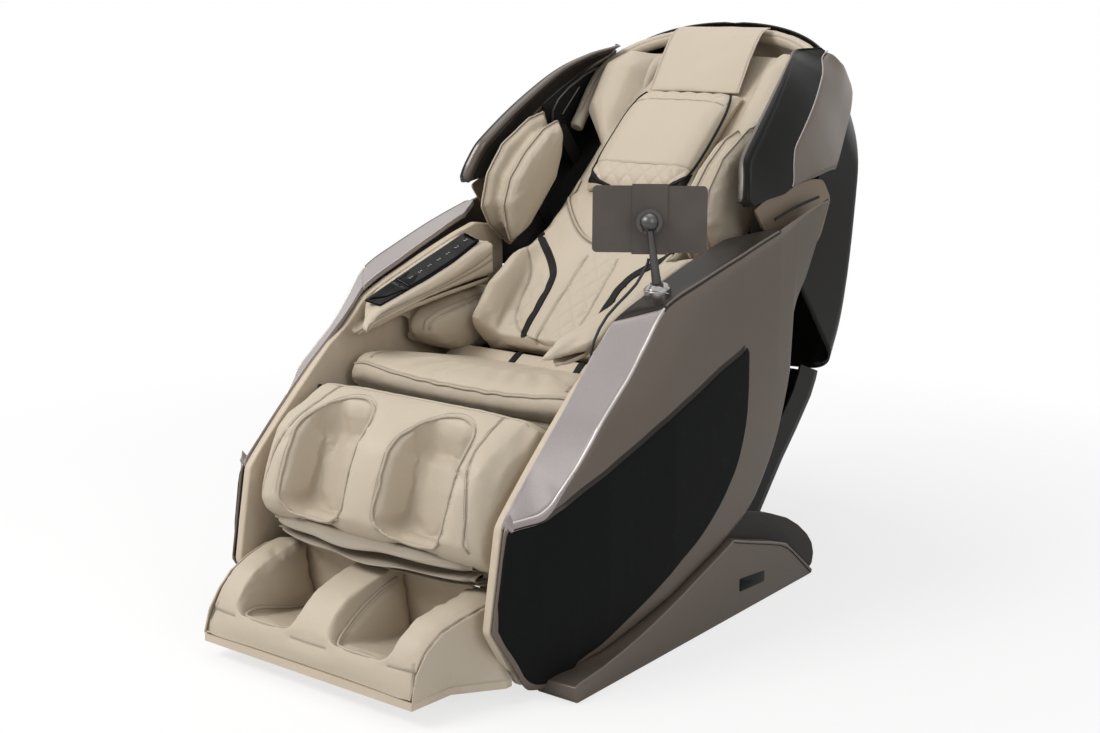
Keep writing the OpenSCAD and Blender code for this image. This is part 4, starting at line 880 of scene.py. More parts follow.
shell_low = flow([[-656, 150], [-640, 125], [-620, 95], [-600, 62], [-586, 34], [-572, 20], [-537, 13],
    [-504, 8],
    [-482, 9], [-470, 37], [-457, 40], [-383, 56], [-315, 72], [-245, 91], [-174, 111], [-99, 135],
    [-23, 159],
    [36, 184], [101, 214], [208, 335], [248, 429], [267, 497], [272, 609], [330, 690], [424, 836]])
shell_ridge = flow([[-656, 160], [-640, 243], [-630, 297], [-620, 346], [-606, 352], [-555, 355],
    [-525, 369],
    [-500, 397], [-461, 433], [-427, 470], [-401, 500], [-352, 539], [-302, 578], [-252, 628], [-204, 680],
    [-176, 699], [-80, 729], [120, 783], [204, 803], [275, 821], [368, 842], [424, 848]])
arm_edge = flow([[-656, 162], [-640, 245], [-630, 299], [-620, 350], [-610, 362], [-334, 610], [-302, 637],
    [-267, 668], [-134, 717], [-18, 755], [105, 789], [204, 804], [275, 821], [368, 842], [424, 848]])
edge_in = line([[-656, 340.5], [-430, 338], [-334, 329], [-267, 332], [-134, 338], [-18, 345], [105, 356],
    [204, 412], [424, 422]])
ridge_out = line([[-656, 346.5], [-620, 348.5], [-569, 362.5], [-500, 386], [-401, 400], [-265, 398],
    [-176, 402],
    [-80, 412], [60, 425], [204, 431], [424, 428]])
mid_out = line([[-656, 346.5], [-620, 358.5], [-560, 382.5], [-480, 404], [-400, 420], [-200, 436],
    [0, 436],
    [200, 436], [424, 424]])
low_out = line([[-656, 346.5], [-620, 351.5], [-560, 368.5], [-480, 392], [-400, 410], [-200, 428],
    [0, 431],
    [272, 429], [424, 424]])
inlay_low = flow([[-644, 155], [-630, 128], [-612, 100], [-598, 76], [-586, 52], [-574, 38], [-556, 28],
    [-530, 24],
    [-504, 23], [-482, 27], [-465, 48], [-415, 66], [-358, 88], [-273, 123], [-236, 140], [-170, 172],
    [-97, 205],
    [-23, 257], [7, 287], [33, 319], [52, 358], [69, 419], [77, 503], [80, 545]])
inlay_top = flow([[-644, 205], [-636, 250], [-626, 304], [-618, 334], [-610, 340], [-546, 343], [-513, 357],
    [-467, 379], [-417, 400], [-362, 421], [-302, 442], [-242, 466], [-177, 491], [-104, 516], [-30, 543],
    [47, 566], [66, 574], [75, 570], [80, 558]])
FRONT, REAR, TOP_REAR = -656, 424, 204


def shell_x(y, z):
    """How far out the side shell stands at a height and place along it."""
    low, ridge = shell_low(y), shell_ridge(y)
    k = clamp((z - low) / max(ridge - low, 1))
    swollen = mid_out(y) - (low_out(y) + ridge_out(y)) / 2
    return mix(low_out(y), ridge_out(y), k) + swollen * 4 * k * (1 - k)


def bend(k):
    """Where the steep arm face turns into the flat arm top: k is 0 at the inner edge, 1 at the ridge."""
    return mix(-267, -192, k)


def arm_point(y_in, y_out, k):
    """A point of the arm's face or top, on the straight line from its inner edge to the ridge."""
    inner = (edge_in(y_in), y_in, arm_edge(y_in))
    outer = (ridge_out(y_out), y_out, shell_ridge(y_out))
    return [mix(a, b, k) for a, b in zip(inner, outer)]


def side_shells():
    """Painted outer shells, the arm faces and tops over them, the soft black inlays and the trim."""
    for name, side in SIDES.items():
        inside = mm(200 * side, -100, 350)

        def outer(u, v):
            y = mix(FRONT, REAR, u**1.25)
            low, ridge = shell_low(y), shell_ridge(y)
            z = mix(low, ridge - 2.5, v)
            tuck = 7 * max(0, (v - 0.965) / 0.035) ** 2 + 5 * max(0, (0.02 - v) / 0.02) ** 2
            return mm(side * (shell_x(y, z) - tuck * 0.35), y, z)

        bronze = piece(facing_out(field(150, 60, outer), inside), f"{name}_shell_skin", "seat_unit",
            "bronze_shell",
            ["bronze"], [f"{name}_side_shell"])
        walled(bronze, 0.0055)

        def over_edge(k):
            """Across an arm piece: down over the ridge, across, and down inside the inner edge."""
            if k < 0.12:
                return 1.0, (1 - k / 0.12), 0.0
            if k > 0.9:
                return 0.0, 0.0, (k - 0.9) / 0.1
            return 1 - (k - 0.12) / 0.78, 0.0, 0.0

        def face(start, end):
            def place(u, v):
                k, drop, inner_drop = over_edge(v)
                y_in = mix(start(0), end(0), u)
                y_out = mix(start(1), end(1), u)
                x, y, z = arm_point(y_in, y_out, k)
                if drop:
                    z -= 7 * drop
                    x = shell_x(y, z) + 0.6 - 2.2 * (1 - drop) ** 2
                elif v < 0.2:
                    t = (v - 0.12) / 0.08
                    z += 0.8 * math.sin(math.pi * t)
                    x -= 1.6 * (1 - t)
                if inner_drop:
                    x -= 1.2 * math.sin(inner_drop * math.pi / 2)
                    z -= 12 * inner_drop
                return mm(side * x, y, z)

            return place

        front = facing_out(field(70, 34, face(lambda k: -619.0, bend)), inside)
        silver = piece(front, f"{name}_arm_face", "seat_unit", "silver_trim", ["silver"])
        walled(silver, 0.004)
        top = facing_out(field(64, 34, face(lambda k: bend(k) + 0.8, lambda k: TOP_REAR)), inside)
        # The right arm's top takes the silver paint as a painted reflection of the light; the left arm's
        # top has the dark arm-top paint.
        dark = piece(top, f"{name}_arm_top", "seat_unit", "dark_gloss",
            ["arm top" if side > 0 else "silver"])
        walled(dark, 0.004)

        def lip(u, v):
            """Bright rounded lip of the arm face along its foot and up the front of the ridge."""
            y = mix(-612, -470, u)
            z = shell_ridge(y) - 1 - 15 * math.sin(v * math.pi / 2) * (1 - ease(-560, -475, y) * 0.6)
            return mm(side * (shell_x(y, z) + 1.2 + 1.6 * math.cos(v * math.pi / 2)), y, z)

        rim = piece(facing_out(field(40, 10, lip), inside), f"{name}_arm_lip", "seat_unit", "silver_trim",
            ["silver"])
        walled(rim, 0.0015)
        ridge_line = [
            mm(side * (ridge_out(y) - 0.6), y, shell_ridge(y) - 0.6) for y in np.linspace(-612, 196, 160)
        ]
        on_face = [p for p in ridge_line if p.y < -0.190]
        # Painted highlight: a bright tube along the ridge of the arm face, where the light catches the
        # edge.
        tube([on_face], 0.0026, f"{name}_ridge_highlight", "seat_unit", "silver_trim", "edge")
        tube([ridge_line[len(on_face) :]], 0.0022, f"{name}_top_trim", "seat_unit", "silver_trim", "bronze")

        def inlay(u, v):
            y = mix(-644, 80, u)
            low, top_z = inlay_low(y), inlay_top(y)
            z = mix(low, top_z, v)
            edge = min(v * (top_z - low), (1 - v) * (top_z - low), (y + 644) * 1.5 + 1, (80.5 - y) * 1.2)
            return mm(side * (shell_x(y, z) + 0.6 + 3.4 * ease(0, 9, edge)), y, z)

        panel = facing_out(field(150, 64, inlay), inside)
        inlay_piece = piece(panel, f"{name}_inlay", "seat_unit", "dark_gloss", ["charcoal"],
            ["side_inlay_panels"] if side > 0 else ())
        walled(inlay_piece, 0.0008)

        def inlay_bevel(u, v):
            y = mix(-606, 62, u)
            z = inlay_top(y) - 1.5 + 8.5 * v
            return mm(side * (shell_x(y, z) + 0.5 + 3.2 * (1 - v) ** 1.5), y, z)

        chamfer = facing_out(field(90, 6, inlay_bevel), inside)
        walled(piece(chamfer, f"{name}_inlay_chamfer", "seat_unit", "dark_gloss", ["arm top"]), 0.0006)

        outline = rounded_outline(liner_outline(), 8)
        inner = slab(outline, side * 320.3, side * 339.8, 0.0045, 3)
        piece(inner, f"{name}_liner_board", "seat_unit", "cream_leather", ["liner"],
            ["inner_liners"] if side > 0 else (), 30)


def liner_outline():
    """The outline of the cream board inside an arm."""
    points = [(-620, 342), (-640, 240), (-656, 150), (-608, 72), (-561, 17), (-470, 62), (-330, 106),
        (-200, 150), (60, 220), (180, 300), (204, 420)]
    back = [(y, arm_edge(y) - (20 if y < 120 else mix(20, 60, (y - 120) / 84)))
        for y in (204, 150, 105, 40, -18, -80, -134, -200, -250, -267, -285, -302, -334)]
    front = [(y, arm_edge(y) - 8) for y in (-380, -430, -480, -530, -580, -606)]
    return points + [(204, 600)] + back + front


def rounded_outline(outline, radius, steps=4):
    """The outline with each corner rounded."""
    found, n = [], len(outline)
    for i in range(n):
        before, at, after = (Vector(outline[(i + k) % n]) for k in (-1, 0, 1))
        a, b = before - at, after - at
        cut = min(radius, a.length * 0.4, b.length * 0.4)
        p, q = at + a.normalized() * cut, at + b.normalized() * cut
        for k in range(steps + 1):
            t = k / steps
            found.append(tuple(p * (1 - t) ** 2 + at * (2 * t * (1 - t)) + q * t**2))
    return found


def skids():
    """Painted skid covers with their rounded tops, rear caps, split line and the bare badge place."""
    top = [(-537, 34), (-512, 40), (-449, 45), (-383, 56), (-315, 69), (-245, 87), (-174, 107), (-99, 131),
        (-23, 155), (24, 171)]
    rear = [(26, 170), (100, 148), (180, 126), (249, 103), (310, 56), (372, 8), (366, 0)]
    cap = [(39, 221), (90, 214), (127, 204), (210, 178), (287, 148), (340, 118), (385, 84), (408, 58),
        (418, 30), (412, 6), (400, 0)]
    for name, side in SIDES.items():
        body = [(-530, 0), (-536, 10)] + top + rear[1:]
        skid = slab(rounded_outline(body, 5), side * 352, side * 445.5, 0.009, 4)
        piece(skid, f"{name}_skid_cover", "base", "bronze_shell", ["bronze"], ["skid_covers"] if side > 0
            else ())
        dome = slab(rounded_outline(cap + [(366, 0), (372, 8), (249, 103), (26, 170)], 6), side * 350.5,
            side * 421.5, 0.016, 5)
        piece(dome, f"{name}_skid_cap", "base", "dark_gloss", ["arm top"], ["skid_rear_caps"] if side > 0
            else ())
        ledge = [mm(side * 446.0, y, z) for y,
            z in rounded([(20, 166), (100, 142), (180, 119), (246, 97), (306, 50), (362, 4)], 2)]
        tube([ledge], 0.0012, f"{name}_skid_edge_line", "base", "bronze_shell", "seam line")
        plate = slab(rounded_outline([(48, 49), (150, 44), (150, 68), (48, 78)], 4), 445.2, 446.7, 0.0005,
            2)
        if side > 0:
            piece(plate, "bare_badge_plate", "base", "dark_gloss", ["gloss"])


# ---- The cushions ----

ARCH_POWER, ARCH_HALF, ARCH_FROM, ARCH_RISE = 2.2, 335.0, 800.0, 209.0


def arch_x(up, inset=0.0):
    """Half width of the back at a height, inside the hood by an inset."""
    top = max(0.0, up - ARCH_FROM) / (ARCH_RISE - inset)
    return (ARCH_HALF - inset) * max(0.0, 1 - min(1.0, top) ** ARCH_POWER) ** (1 / ARCH_POWER)


def back_path(pairs, front=260.0, rounds=3):
    """A path before the back pad through (x, up) pairs."""
    return rounded([on_back(x, up, front) for x, up in pairs], rounds)


INTO_BACK = on_back(0, 0, 0) - on_back(0, 0, 1)
STRIPE = [(-222, 322), (-160, 266), (-112, 218), (-92, 186), (-87, 120), (-85, 0)]
BORDER = [(-228, 350), (-206, 268), (-168, 222), (-151, 180), (-147, 110), (-138, 70), (-118, 42),
    (-85, 20), (-40, 8), (0, 5)]
HEAD_EDGE = [(-226, 480), (-170, 398), (-112, 336), (-60, 302), (0, 290)]


def quilt(left, right, low, high, spacing, lean=1.35):
    """Crossing diagonal lines that fill a box of the back, as (x, up) pairs."""
    lines, tall = [], high - low
    start = left - tall / lean
    while start < right:
        for way in (1, -1):
            a = start if way > 0 else left + right - start
            points = []
            for k in range(25):
                x = a + way * k / 24 * tall / lean
                if left <= x <= right:
                    points.append((x, low + k / 24 * tall))
            if len(points) > 2:
                lines.append(points)
        start += spacing
    return lines


def back_pad():
    """The long pad of the back: its border, black stripes, quilted middle and head panel."""
    edge = [back_path(p) for p in (BORDER, [(-x, s) for x, s in BORDER])]
    seam = [back_path([(x, 5), (x, 150), (x * 0.9, 262)]) for x in (-46, 46)]
    head = [back_path(HEAD_EDGE), back_path([(-x, s) for x, s in HEAD_EDGE])]
    diamonds = [back_path(p, rounds=0) for p in quilt(-44, 44, 14, 286, 44)]
    for side in (-1, 1):
        diamonds += [
            back_path([(side * x, s) for x, s in p], rounds=0)
            for p in quilt(-142, -94, 40, 190, 40)
        ]
    solid = Skin(bpy.data.objects["back_pad"])
    lay = lambda paths: [solid.lay(p, INTO_BACK) for p in paths]
    pad = cushion("back_pad_cover", ["back_pad"], "backrest", lay(edge + seam + head), voxel=0.0065)
    at, up = corners(pad), np.array(on_back(0, 0, 1) - on_back(0, 0, 0)) * 1000
    short = np.maximum(0, PAD_REAR - (at - np.array(on_back(0, 0, 0))) @ up)
    set_corners(pad, at + short[:, None] * up)
    skin = Skin(pad)
    down = lambda paths: [skin.lay(p, INTO_BACK) for p in paths]
    sink(pad, down(diamonds), 0.0014, 0.0026, 0.0026, 0.014, 0.12)
    skin = sewn(pad, down(seam), "back_middle_seam", "backrest", 2, puff=0.002)
    skin = sewn(pad, down(edge), "back_border_seam", "backrest", 1, depth=0.003, puff=0.003)
    tube(down(head), 0.0032, "back_head_piping", "backrest", "cream_leather", "cream piping")
    sink(pad, down(head), 0.002, 0.005, 0.003)
    stitches([skin.beside(p, 0.006, 0.0002) for p in down(head)], "back_head_stitches", "backrest")
    for i, path in enumerate(down([back_path(STRIPE), back_path([(-x, s) for x, s in STRIPE])])):
        band = strip(skin, steady(path, 12), STRIPE_WIDTH, 0.0024)
        black = piece(facing_out(band, on_back(0, 200, -200)), f"back_stripe_{i + 1}", "backrest",
            "black_plastic", ["black leather"])
        softened(black, 0.0006, 1, 40)


ROLL = [(-66, 487), (-52, 496), (-38, 506), (-27, 511), (-19, 507), (-8, 495), (2, 484), (4, 476)]


def linings():
    """Black lining cloth beside and above the back pad, and the roll that closes the seat against it."""
    half = flow([(0, 212), (230, 212), (260, 205), (600, 205), (650, 240), (700, 278), (1010, 278)])
    for name, side in SIDES.items():
        def cloth(u, v):
            s = mix(24, 1000, v)
            inner = max(min(half(s), arch_x(min(s, 952), 56)) - 12, 0)
            outer = min(316.0, arch_x(s, 9))
            x = mix(inner, max(outer, inner + 0.5), u)
            return on_back(side * x, s, 66 + 3 * math.sin(u * math.pi) * math.sin(s / 37.0))

        sheet = facing_out(field(14, 90, cloth), on_back(side * 260, 500, -100))
        walled(piece(sheet, f"{name}_back_lining", "backrest", "black_plastic", ["shroud"]), LINING_WALL)

        def shoulder(u, v):
            s = mix(268, 820, v)
            outer = min(374.0, wing_x(max(s, 480), 84) - 26)
            return on_back(side * mix(314, max(outer, 315), u), s,
                mix(64, 76, u) + 2 * math.sin(9 * u + 14 * v))

        sheet = facing_out(field(8, 60, shoulder), on_back(side * 340, 600, -100))
        walled(piece(sheet, f"{name}_shoulder_lining", "backrest", "black_plastic", ["shroud"]),
            LINING_WALL)

        def bolster(u, v):
            s = mix(250, 668, u)
            end = math.sqrt(clamp(min(u, 1 - u) / 0.05))
            angle = v * math.pi
            wide = mix(4, 17, end) * mix(1.0, 1.15, ease(560, 640, s))
            return on_back(side * (214 - wide * math.cos(angle)), s,
                84 + (20 + 10 * end) * math.sin(angle) * end)

        soft = piece(facing_out(field(90, 14, bolster), on_back(side * 214, 460, 60)),
            f"{name}_back_bolster", "backrest", "cream_leather", ["cream leather"])

    def under(u, v):
        return on_back(mix(-296, 296, u), mix(1, 62, v), 66 + 1.5 * math.sin(u * 40))

    low = facing_out(field(60, 6, under), on_back(0, 30, -200))
    walled(piece(low, "back_low_lining", "backrest", "black_plastic", ["shroud"]), LINING_WALL)

    def crown(u, v):
        s = mix(938, 990, v)
        half = max(arch_x(s, 14) - 16, 2)
        return on_back(mix(-half, half, u), s, mix(112, 142, v) + 2 * math.sin(u * 31))

    top = facing_out(field(60, 12, crown), on_back(0, 900, -200))
    walled(piece(top, "head_backing", "backrest", "cream_leather", ["cream leather"]), 0.0015)

    def roll(u, v):
        x = mix(-292, 292, u)
        end = math.sqrt(clamp(min(u, 1 - u) / 0.03))
        y, z = ROLL[min(int(v * 7.001), 7)]
        return mm(x, y, mix(470, z, end))

    bm = facing_out(field(80, 7, roll), mm(0, -20, 300))
    obj = piece(bm, "seat_rear_roll", "seat_unit", "cream_leather", ["cream leather"])
    m = obj.modifiers.new("Round", "SUBSURF")
    m.levels = m.render_levels = 2
    skin = Skin(obj)
    for i, side in enumerate((-1, 1)):
        spots = ((86, -20, 509), (87, -34, 509.5), (88, -48, 500), (89, -60, 492))
        path = [mm(side * x, y, z) for x, y, z in spots]
        piece(facing_out(strip(skin, path, STRIPE_WIDTH, 0.0022), mm(0, -20, 300)),
            f"seat_rear_stripe_{i + 1}", "seat_unit", "black_plastic", ["black leather"])


def seat_cushion():
    """The seat: a rolled front with a piped edge, a stitched middle and soft folds."""
    down = Vector((0, 0, -1))
    solid = Skin(bpy.data.objects["seat_cushion"])
    front = solid.lay([mm(x, -338 + 3.5 * (abs(x) / 290) ** 3, 700) for x in np.linspace(-294, 294, 60)],
        down)
    sides = [solid.lay([mm(s * 262, y, 700) for y in np.linspace(-320, -40, 30)], down) for s in (-1, 1)]
    roll = solid.lay([mm(x, -500, 455) for x in np.linspace(-292, 292, 60)], Vector((0, 1, 0)))
    seat = cushion("seat_cover", ["seat_cushion"], "seat_unit", [front, roll] + sides, voxel=0.006)
    for x, y, tall, turn in ((-150, -230, 0.0026, 0.7), (-60, -250, 0.0022, 0.35),
        (60, -250, 0.0022, -0.35), (150, -230, 0.0026, -0.7), (0, -120, 0.0016, 0.1)):
        run = Vector((turn, 1, 0))
        wrinkle(seat, mm(x, y, 520), run, run.cross(Vector((0, 0, 1))), tall, 6.5, 0.09, 0.055)
    skin = Skin(seat)
    skin = sewn(seat, [skin.lay(front, down)], "seat_front_seam", "seat_unit", 1, depth=0.003, puff=0.003,
        line=False)
    tube([skin.lay(front, down, 0.0012)], 0.0030, "seat_front_piping", "seat_unit", "cream_leather",
        "cream piping")
    skin = sewn(seat, [skin.lay(roll, Vector((0, 1, 0)))], "seat_roll_seam", "seat_unit", 0, depth=0.0035,
        puff=0.006, wide=0.03)
    sewn(seat, [skin.lay(p, down) for p in sides], "seat_side_seam", "seat_unit", 2, puff=0.003)


def laid_on(skin, aimed, lift=0.0):
    """The points on a surface that the aimed looks meet."""
    found = []
    for point, way in aimed:
        at, normal = skin.hit(point, way)
        found.append(at + normal * lift)
    return found


CALF_FRONT = line([[-275, -60], [-268, -116], [-248, -146], [-210, -153], [-150, -158], [-100, -157],
    [-62, -140],
    [-20, -104], [31, -60], [34, -14]])
WELL_MID, WELL_HALF, WELL_DEPTH, WELL_BACK = 129.0, 81.0, 100.0, -16
WELL_TOP, WELL_LOW = (-92.0, 94.0), (-226.0, 34.0)


def well_half(z):
    """Half the width of a leg well's mouth at a height: round at its top, rounder corners at its foot."""
    if z > WELL_TOP[0]:
        return WELL_HALF * math.sqrt(max(0.0, 1 - ((z - WELL_TOP[0]) / WELL_TOP[1]) ** 2))
    if z < WELL_LOW[0]:
        return WELL_HALF * max(0.0, 1 - ((WELL_LOW[0] - z) / WELL_LOW[1]) ** 3.5) ** 0.3
    return WELL_HALF


def well_shape(points, outs):
    """Gives the calf rest its two rounded wells with bulging walls."""
    found = np.array(points)
    sin, cos = math.sin(CALF_LEAN), math.cos(CALF_LEAN)
    for i, (p, n) in enumerate(zip(points, outs)):
        y, z = p[1] * 1000 - KNEE[0], p[2] * 1000 - KNEE[1]
        deep, up = y * cos - z * sin, y * sin + z * cos
        x = abs(p[0]) * 1000
        if n[1] * cos - n[2] * sin > 0.35 or deep > -14 or not 40 < x < 236 or not -266 < up < 22:
            continue
        half = well_half(up)
        t = abs(x - WELL_MID) / half if half > 1 else 2
        cut = 0.0
        if t < 1:
            round_wall = (1 - t**4) ** 0.75 - 0.13 * (1 - t * t) ** 2
            cut = WELL_DEPTH * round_wall * ease(4, -84, up) * mix(1, 0.5, ease(-226, -262, up))
        front = min(CALF_FRONT(up) + cut, WELL_BACK)
        dy, dz = front * cos + up * sin, -front * sin + up * cos
        found[i] = (p[0], (dy + KNEE[0]) / 1000, (dz + KNEE[1]) / 1000)
    return found


def calf_line(x_of, z_from, z_to, count=60):
    """Points on the face of the calf rest, from one height to another."""
    found = []
    for z in np.linspace(z_from, z_to, count):
        found.append(on_leg(x_of(z), CALF_FRONT(z), z))
    return found


def calf_cushion():
    """The calf rest: three padded rolls, two arched wells with piped mouths, and stitched side panels."""
    mouths, rims = [], []
    for side in (-1, 1):
        for paths, grow in ((mouths, 0.0), (rims, 9.0)):
            pairs = []
            for z in np.linspace(WELL_LOW[0] - WELL_LOW[1] * 0.94, WELL_TOP[0], 26):
                pairs.append((WELL_MID - well_half(z) - grow, z - grow * ease(-226, -262, z)))
            for turn in np.linspace(0, math.pi, 30)[1:-1]:
                pairs.append((WELL_MID - (WELL_HALF + grow) * math.cos(turn),
                    WELL_TOP[0] + (WELL_TOP[1] + grow) * math.sin(turn)))
            pairs += [(2 * WELL_MID - x, z) for x, z in pairs[25::-1]]
            if not grow:
                pairs.append(pairs[0])
            paths.append([on_leg(side * x, CALF_FRONT(z) - 1, z) for x, z in pairs])
    edge = flow([(-262, 283), (-194, 270), (-105, 240), (-30, 224), (24, 216)])
    panel = [calf_line(lambda z: side * edge(z), 24, -262) for side in (-1, 1)]
    cross = [[on_leg(x, -62, 29) for x in np.linspace(-292, 292, 80)]]
    calf = cushion("calf_cover", ["calf_cushion"], "legrest", mouths + panel, voxel=0.006,
        cap=0.008, shape=well_shape)
    for side in (-1, 1):
        for x, z, tall in ((96, -40, 0.0016), (150, -30, 0.0013)):
            run = on_leg(0, 0, 1) - on_leg(0, 0, 0)
            wrinkle(calf, on_leg(side * x, -110, z), run, Vector((1, 0, 0)), tall, 4.5, 0.05, 0.03)
    skin = Skin(calf)
    near = lambda paths: [steady([skin.tree.find_nearest(p)[0] for p in spaced(path, LAY_STEP)], 8)
        for path in paths]
    sink(calf, near(mouths), 0.0018, 0.005, 0.002, 0.016, 0.3)
    skin = Skin(calf)
    lifted = []
    for path in near(mouths):
        lifted.append([p + skin.tree.find_nearest(p)[1] * 0.0012 for p in path])
    tube(lifted, 0.0030, "calf_well_piping", "legrest", "cream_leather", "cream piping")
    stitches([[p + skin.tree.find_nearest(p)[1] * 0.0003 for p in path] for path in near(rims)],
        "calf_well_stitches", "legrest")
    skin = sewn(calf, near(panel), "calf_panel_seam", "legrest", 2, depth=0.003, puff=0.003)
    sewn(calf, near(cross), "calf_top_seam", "legrest", 0, depth=0.002, puff=0.002)


BELLOWS = [(-634, 263), (-652, 250), (-655, 244), (-640, 240), (-612, 236), (-600, 233), (-612, 229),
    (-640, 225),
    (-648, 220), (-636, 216), (-604, 213), (-594, 210), (-604, 207), (-618, 204)]


def gusset():
    """Folded leather bellows that hang between the calf rest and the foot rest."""
    ys = flow([(i, p[0]) for i, p in enumerate(BELLOWS)])
    zs = flow([(i, p[1]) for i, p in enumerate(BELLOWS)])

    def place(u, v):
        k = v * (len(BELLOWS) - 1)
        sag = math.sin(math.pi * clamp(u * 1.06 - 0.03))
        roam = math.sin(u * 7.5 + k * 0.9) + 0.6 * math.sin(u * 17 - k * 1.3)
        y = ys(k) + 10 + 4.5 * roam * ease(0, 2, k) + 30 * (1 - sag**0.4)
        return mm(mix(-262, 262, u), y,
            zs(k) + 2.2 * roam * ease(0, 2, k) * (1 - ease(10, 13, k)) - 2 * sag * ease(0, 3, k))

    obj = piece(facing_out(field(110, 60, place), mm(0, -520, 300)), "gusset_bellows", "legrest",
        "cream_leather", ["gusset"], ["calf_gusset"], 70)
    walled(obj, 0.0016)


FOOT = [(-803, 35), (-798, 70), (-784, 113), (-756, 148), (-719, 174), (-670, 188), (-620, 196),
    (-588, 200), (-556, 192)]


def foot_half(y):
    """Half the width of the foot rest."""
    return 279 + 24 * ease(-780, -590, y)


def foot_cushion():
    """The foot rest cover: two wells with piped lips, a cross seam and stitched side panels."""
    solid = Skin(bpy.data.objects["foot_cushion"])
    down, back = Vector((0, 0, -1)), Vector((0, 1, -0.35))
    lips = []
    for side in (-1, 1):
        mouth = [(50, -585), (49, -640), (50, -700), (53, -745), (62, -771), (84, -779), (125, -781),
            (166, -779), (188, -771), (197, -745), (200, -700), (201, -640), (200, -585)]
        lips.append([(mm(side * x, y, 320), down) for x, y in rounded_pairs(mouth)])
    cross = [[(mm(x, -900, 142 - 10 * (1 - abs(x) / 280)), back) for x in np.linspace(a, b, 24)] for a,
        b in ((-277, -204), (-46, 46), (204, 277))]
    edges = []
    for side in (-1, 1):
        rise = flow([(i / (len(FOOT) - 1), p[0]) for i, p in enumerate(FOOT)])
        tall = flow([(i / (len(FOOT) - 1), p[1]) for i, p in enumerate(FOOT)])
        edges.append([(mm(side * (foot_half(rise(k)) - 7), rise(k) - 40 * (1 - k), tall(k) + 60),
            Vector((0, 0.4 * (1 - k), -1))) for k in np.linspace(0.02, 0.97, 60)])
    pinned = [laid_on(solid, p) for p in lips + cross + edges]
    foot = cushion("foot_cover", ["foot_cushion"], "footrest", pinned, voxel=0.006, cap=0.006)
    skin = Skin(foot)
    laid = [steady(laid_on(skin, p), 8) for p in lips]
    sink(foot, laid, 0.0015, 0.005, 0.002, 0.016, 0.25)
    skin = Skin(foot)
    lifted = []
    for path in laid:
        lifted.append(steady([skin.tree.find_nearest(p)[0] + skin.tree.find_nearest(p)[1] * 0.0014
            for p in path], 4))
    tube(lifted, 0.0032, "foot_well_piping", "footrest", "cream_leather", "cream piping")
    stitches([skin.beside(p, 0.009 * turn, 0.0003) for p, turn in zip(laid, (1, -1))], "foot_well_stitches",
        "footrest")
    skin = sewn(foot, [laid_on(skin, p) for p in cross], "foot_cross_seam", "footrest", 0, depth=0.0022,
        puff=0.002)
    sewn(foot, [laid_on(skin, p) for p in edges], "foot_side_seam", "footrest", 1, depth=0.003, puff=0.003)
    plate = line([[-803, 277], [-798, 277.5], [-700, 285], [-616, 346], [-598, 346]])
    crest = line(FOOT)
    for name, side in SIDES.items():
        def panel(u, v):
            y = mix(-797, -598, u)
            high = crest(y) - 16
            k = math.sin(v * math.pi / 2) ** 0.8
            x = mix(plate(y), foot_half(y) - 2.5 * v,
                k) + 3 * math.sin(math.pi * v) * math.sin(math.pi * clamp(u * 1.1))
            return mm(side * x, y, mix(49.5, high, v))

        wall = piece(facing_out(field(50, 24, panel), mm(0, -680, 80)), f"{name}_foot_side_panel",
            "footrest", "cream_leather", ["cream leather"])
        walled(wall, 0.003)


def rounded_pairs(pairs, rounds=2):
    """The flat path with its corners cut."""
    return [(p.x, p.y) for p in rounded([Vector((x, y, 0)) for x, y in pairs], rounds)]


# ---- Head, wings and arms ----

wing_front_f = flow([[330, 277], [344, 292], [372, 308], [425, 326], [510, 320], [604, 308], [706, 289],
    [800, 256], [867, 220], [906, 190]])
wing_split_f = flow([[330, 274], [389, 235], [478, 185], [521, 214], [556, 227], [650, 220], [769, 203],
    [906, 180]])
wing_rear_f = flow([[478, 184], [582, 111], [643, 67], [660, 52], [780, 46], [899, 53], [918, 84]])
wing_front_x = flow([[330, -9], [372, -21], [425, -39], [510, -53], [604, -71], [706, -95], [800, -130],
    [867, -161], [906, -115]])
wing_rear_x = flow([[330, 0], [480, -1], [580, -5], [660, -15], [770, -40], [850, -58], [900, -74],
    [930, -88]])
wing_thick = flow([[330, 30], [600, 26], [800, 14], [918, 9]])


def wing_x(up, front):
    """How far out a wing stands at a height and a distance towards the sitter."""
    k = clamp((front - 100) / max(wing_front_f(up) - 100, 1))
    return 405 + wing_rear_x(up) + (wing_front_x(up) - wing_rear_x(up)) * k**3


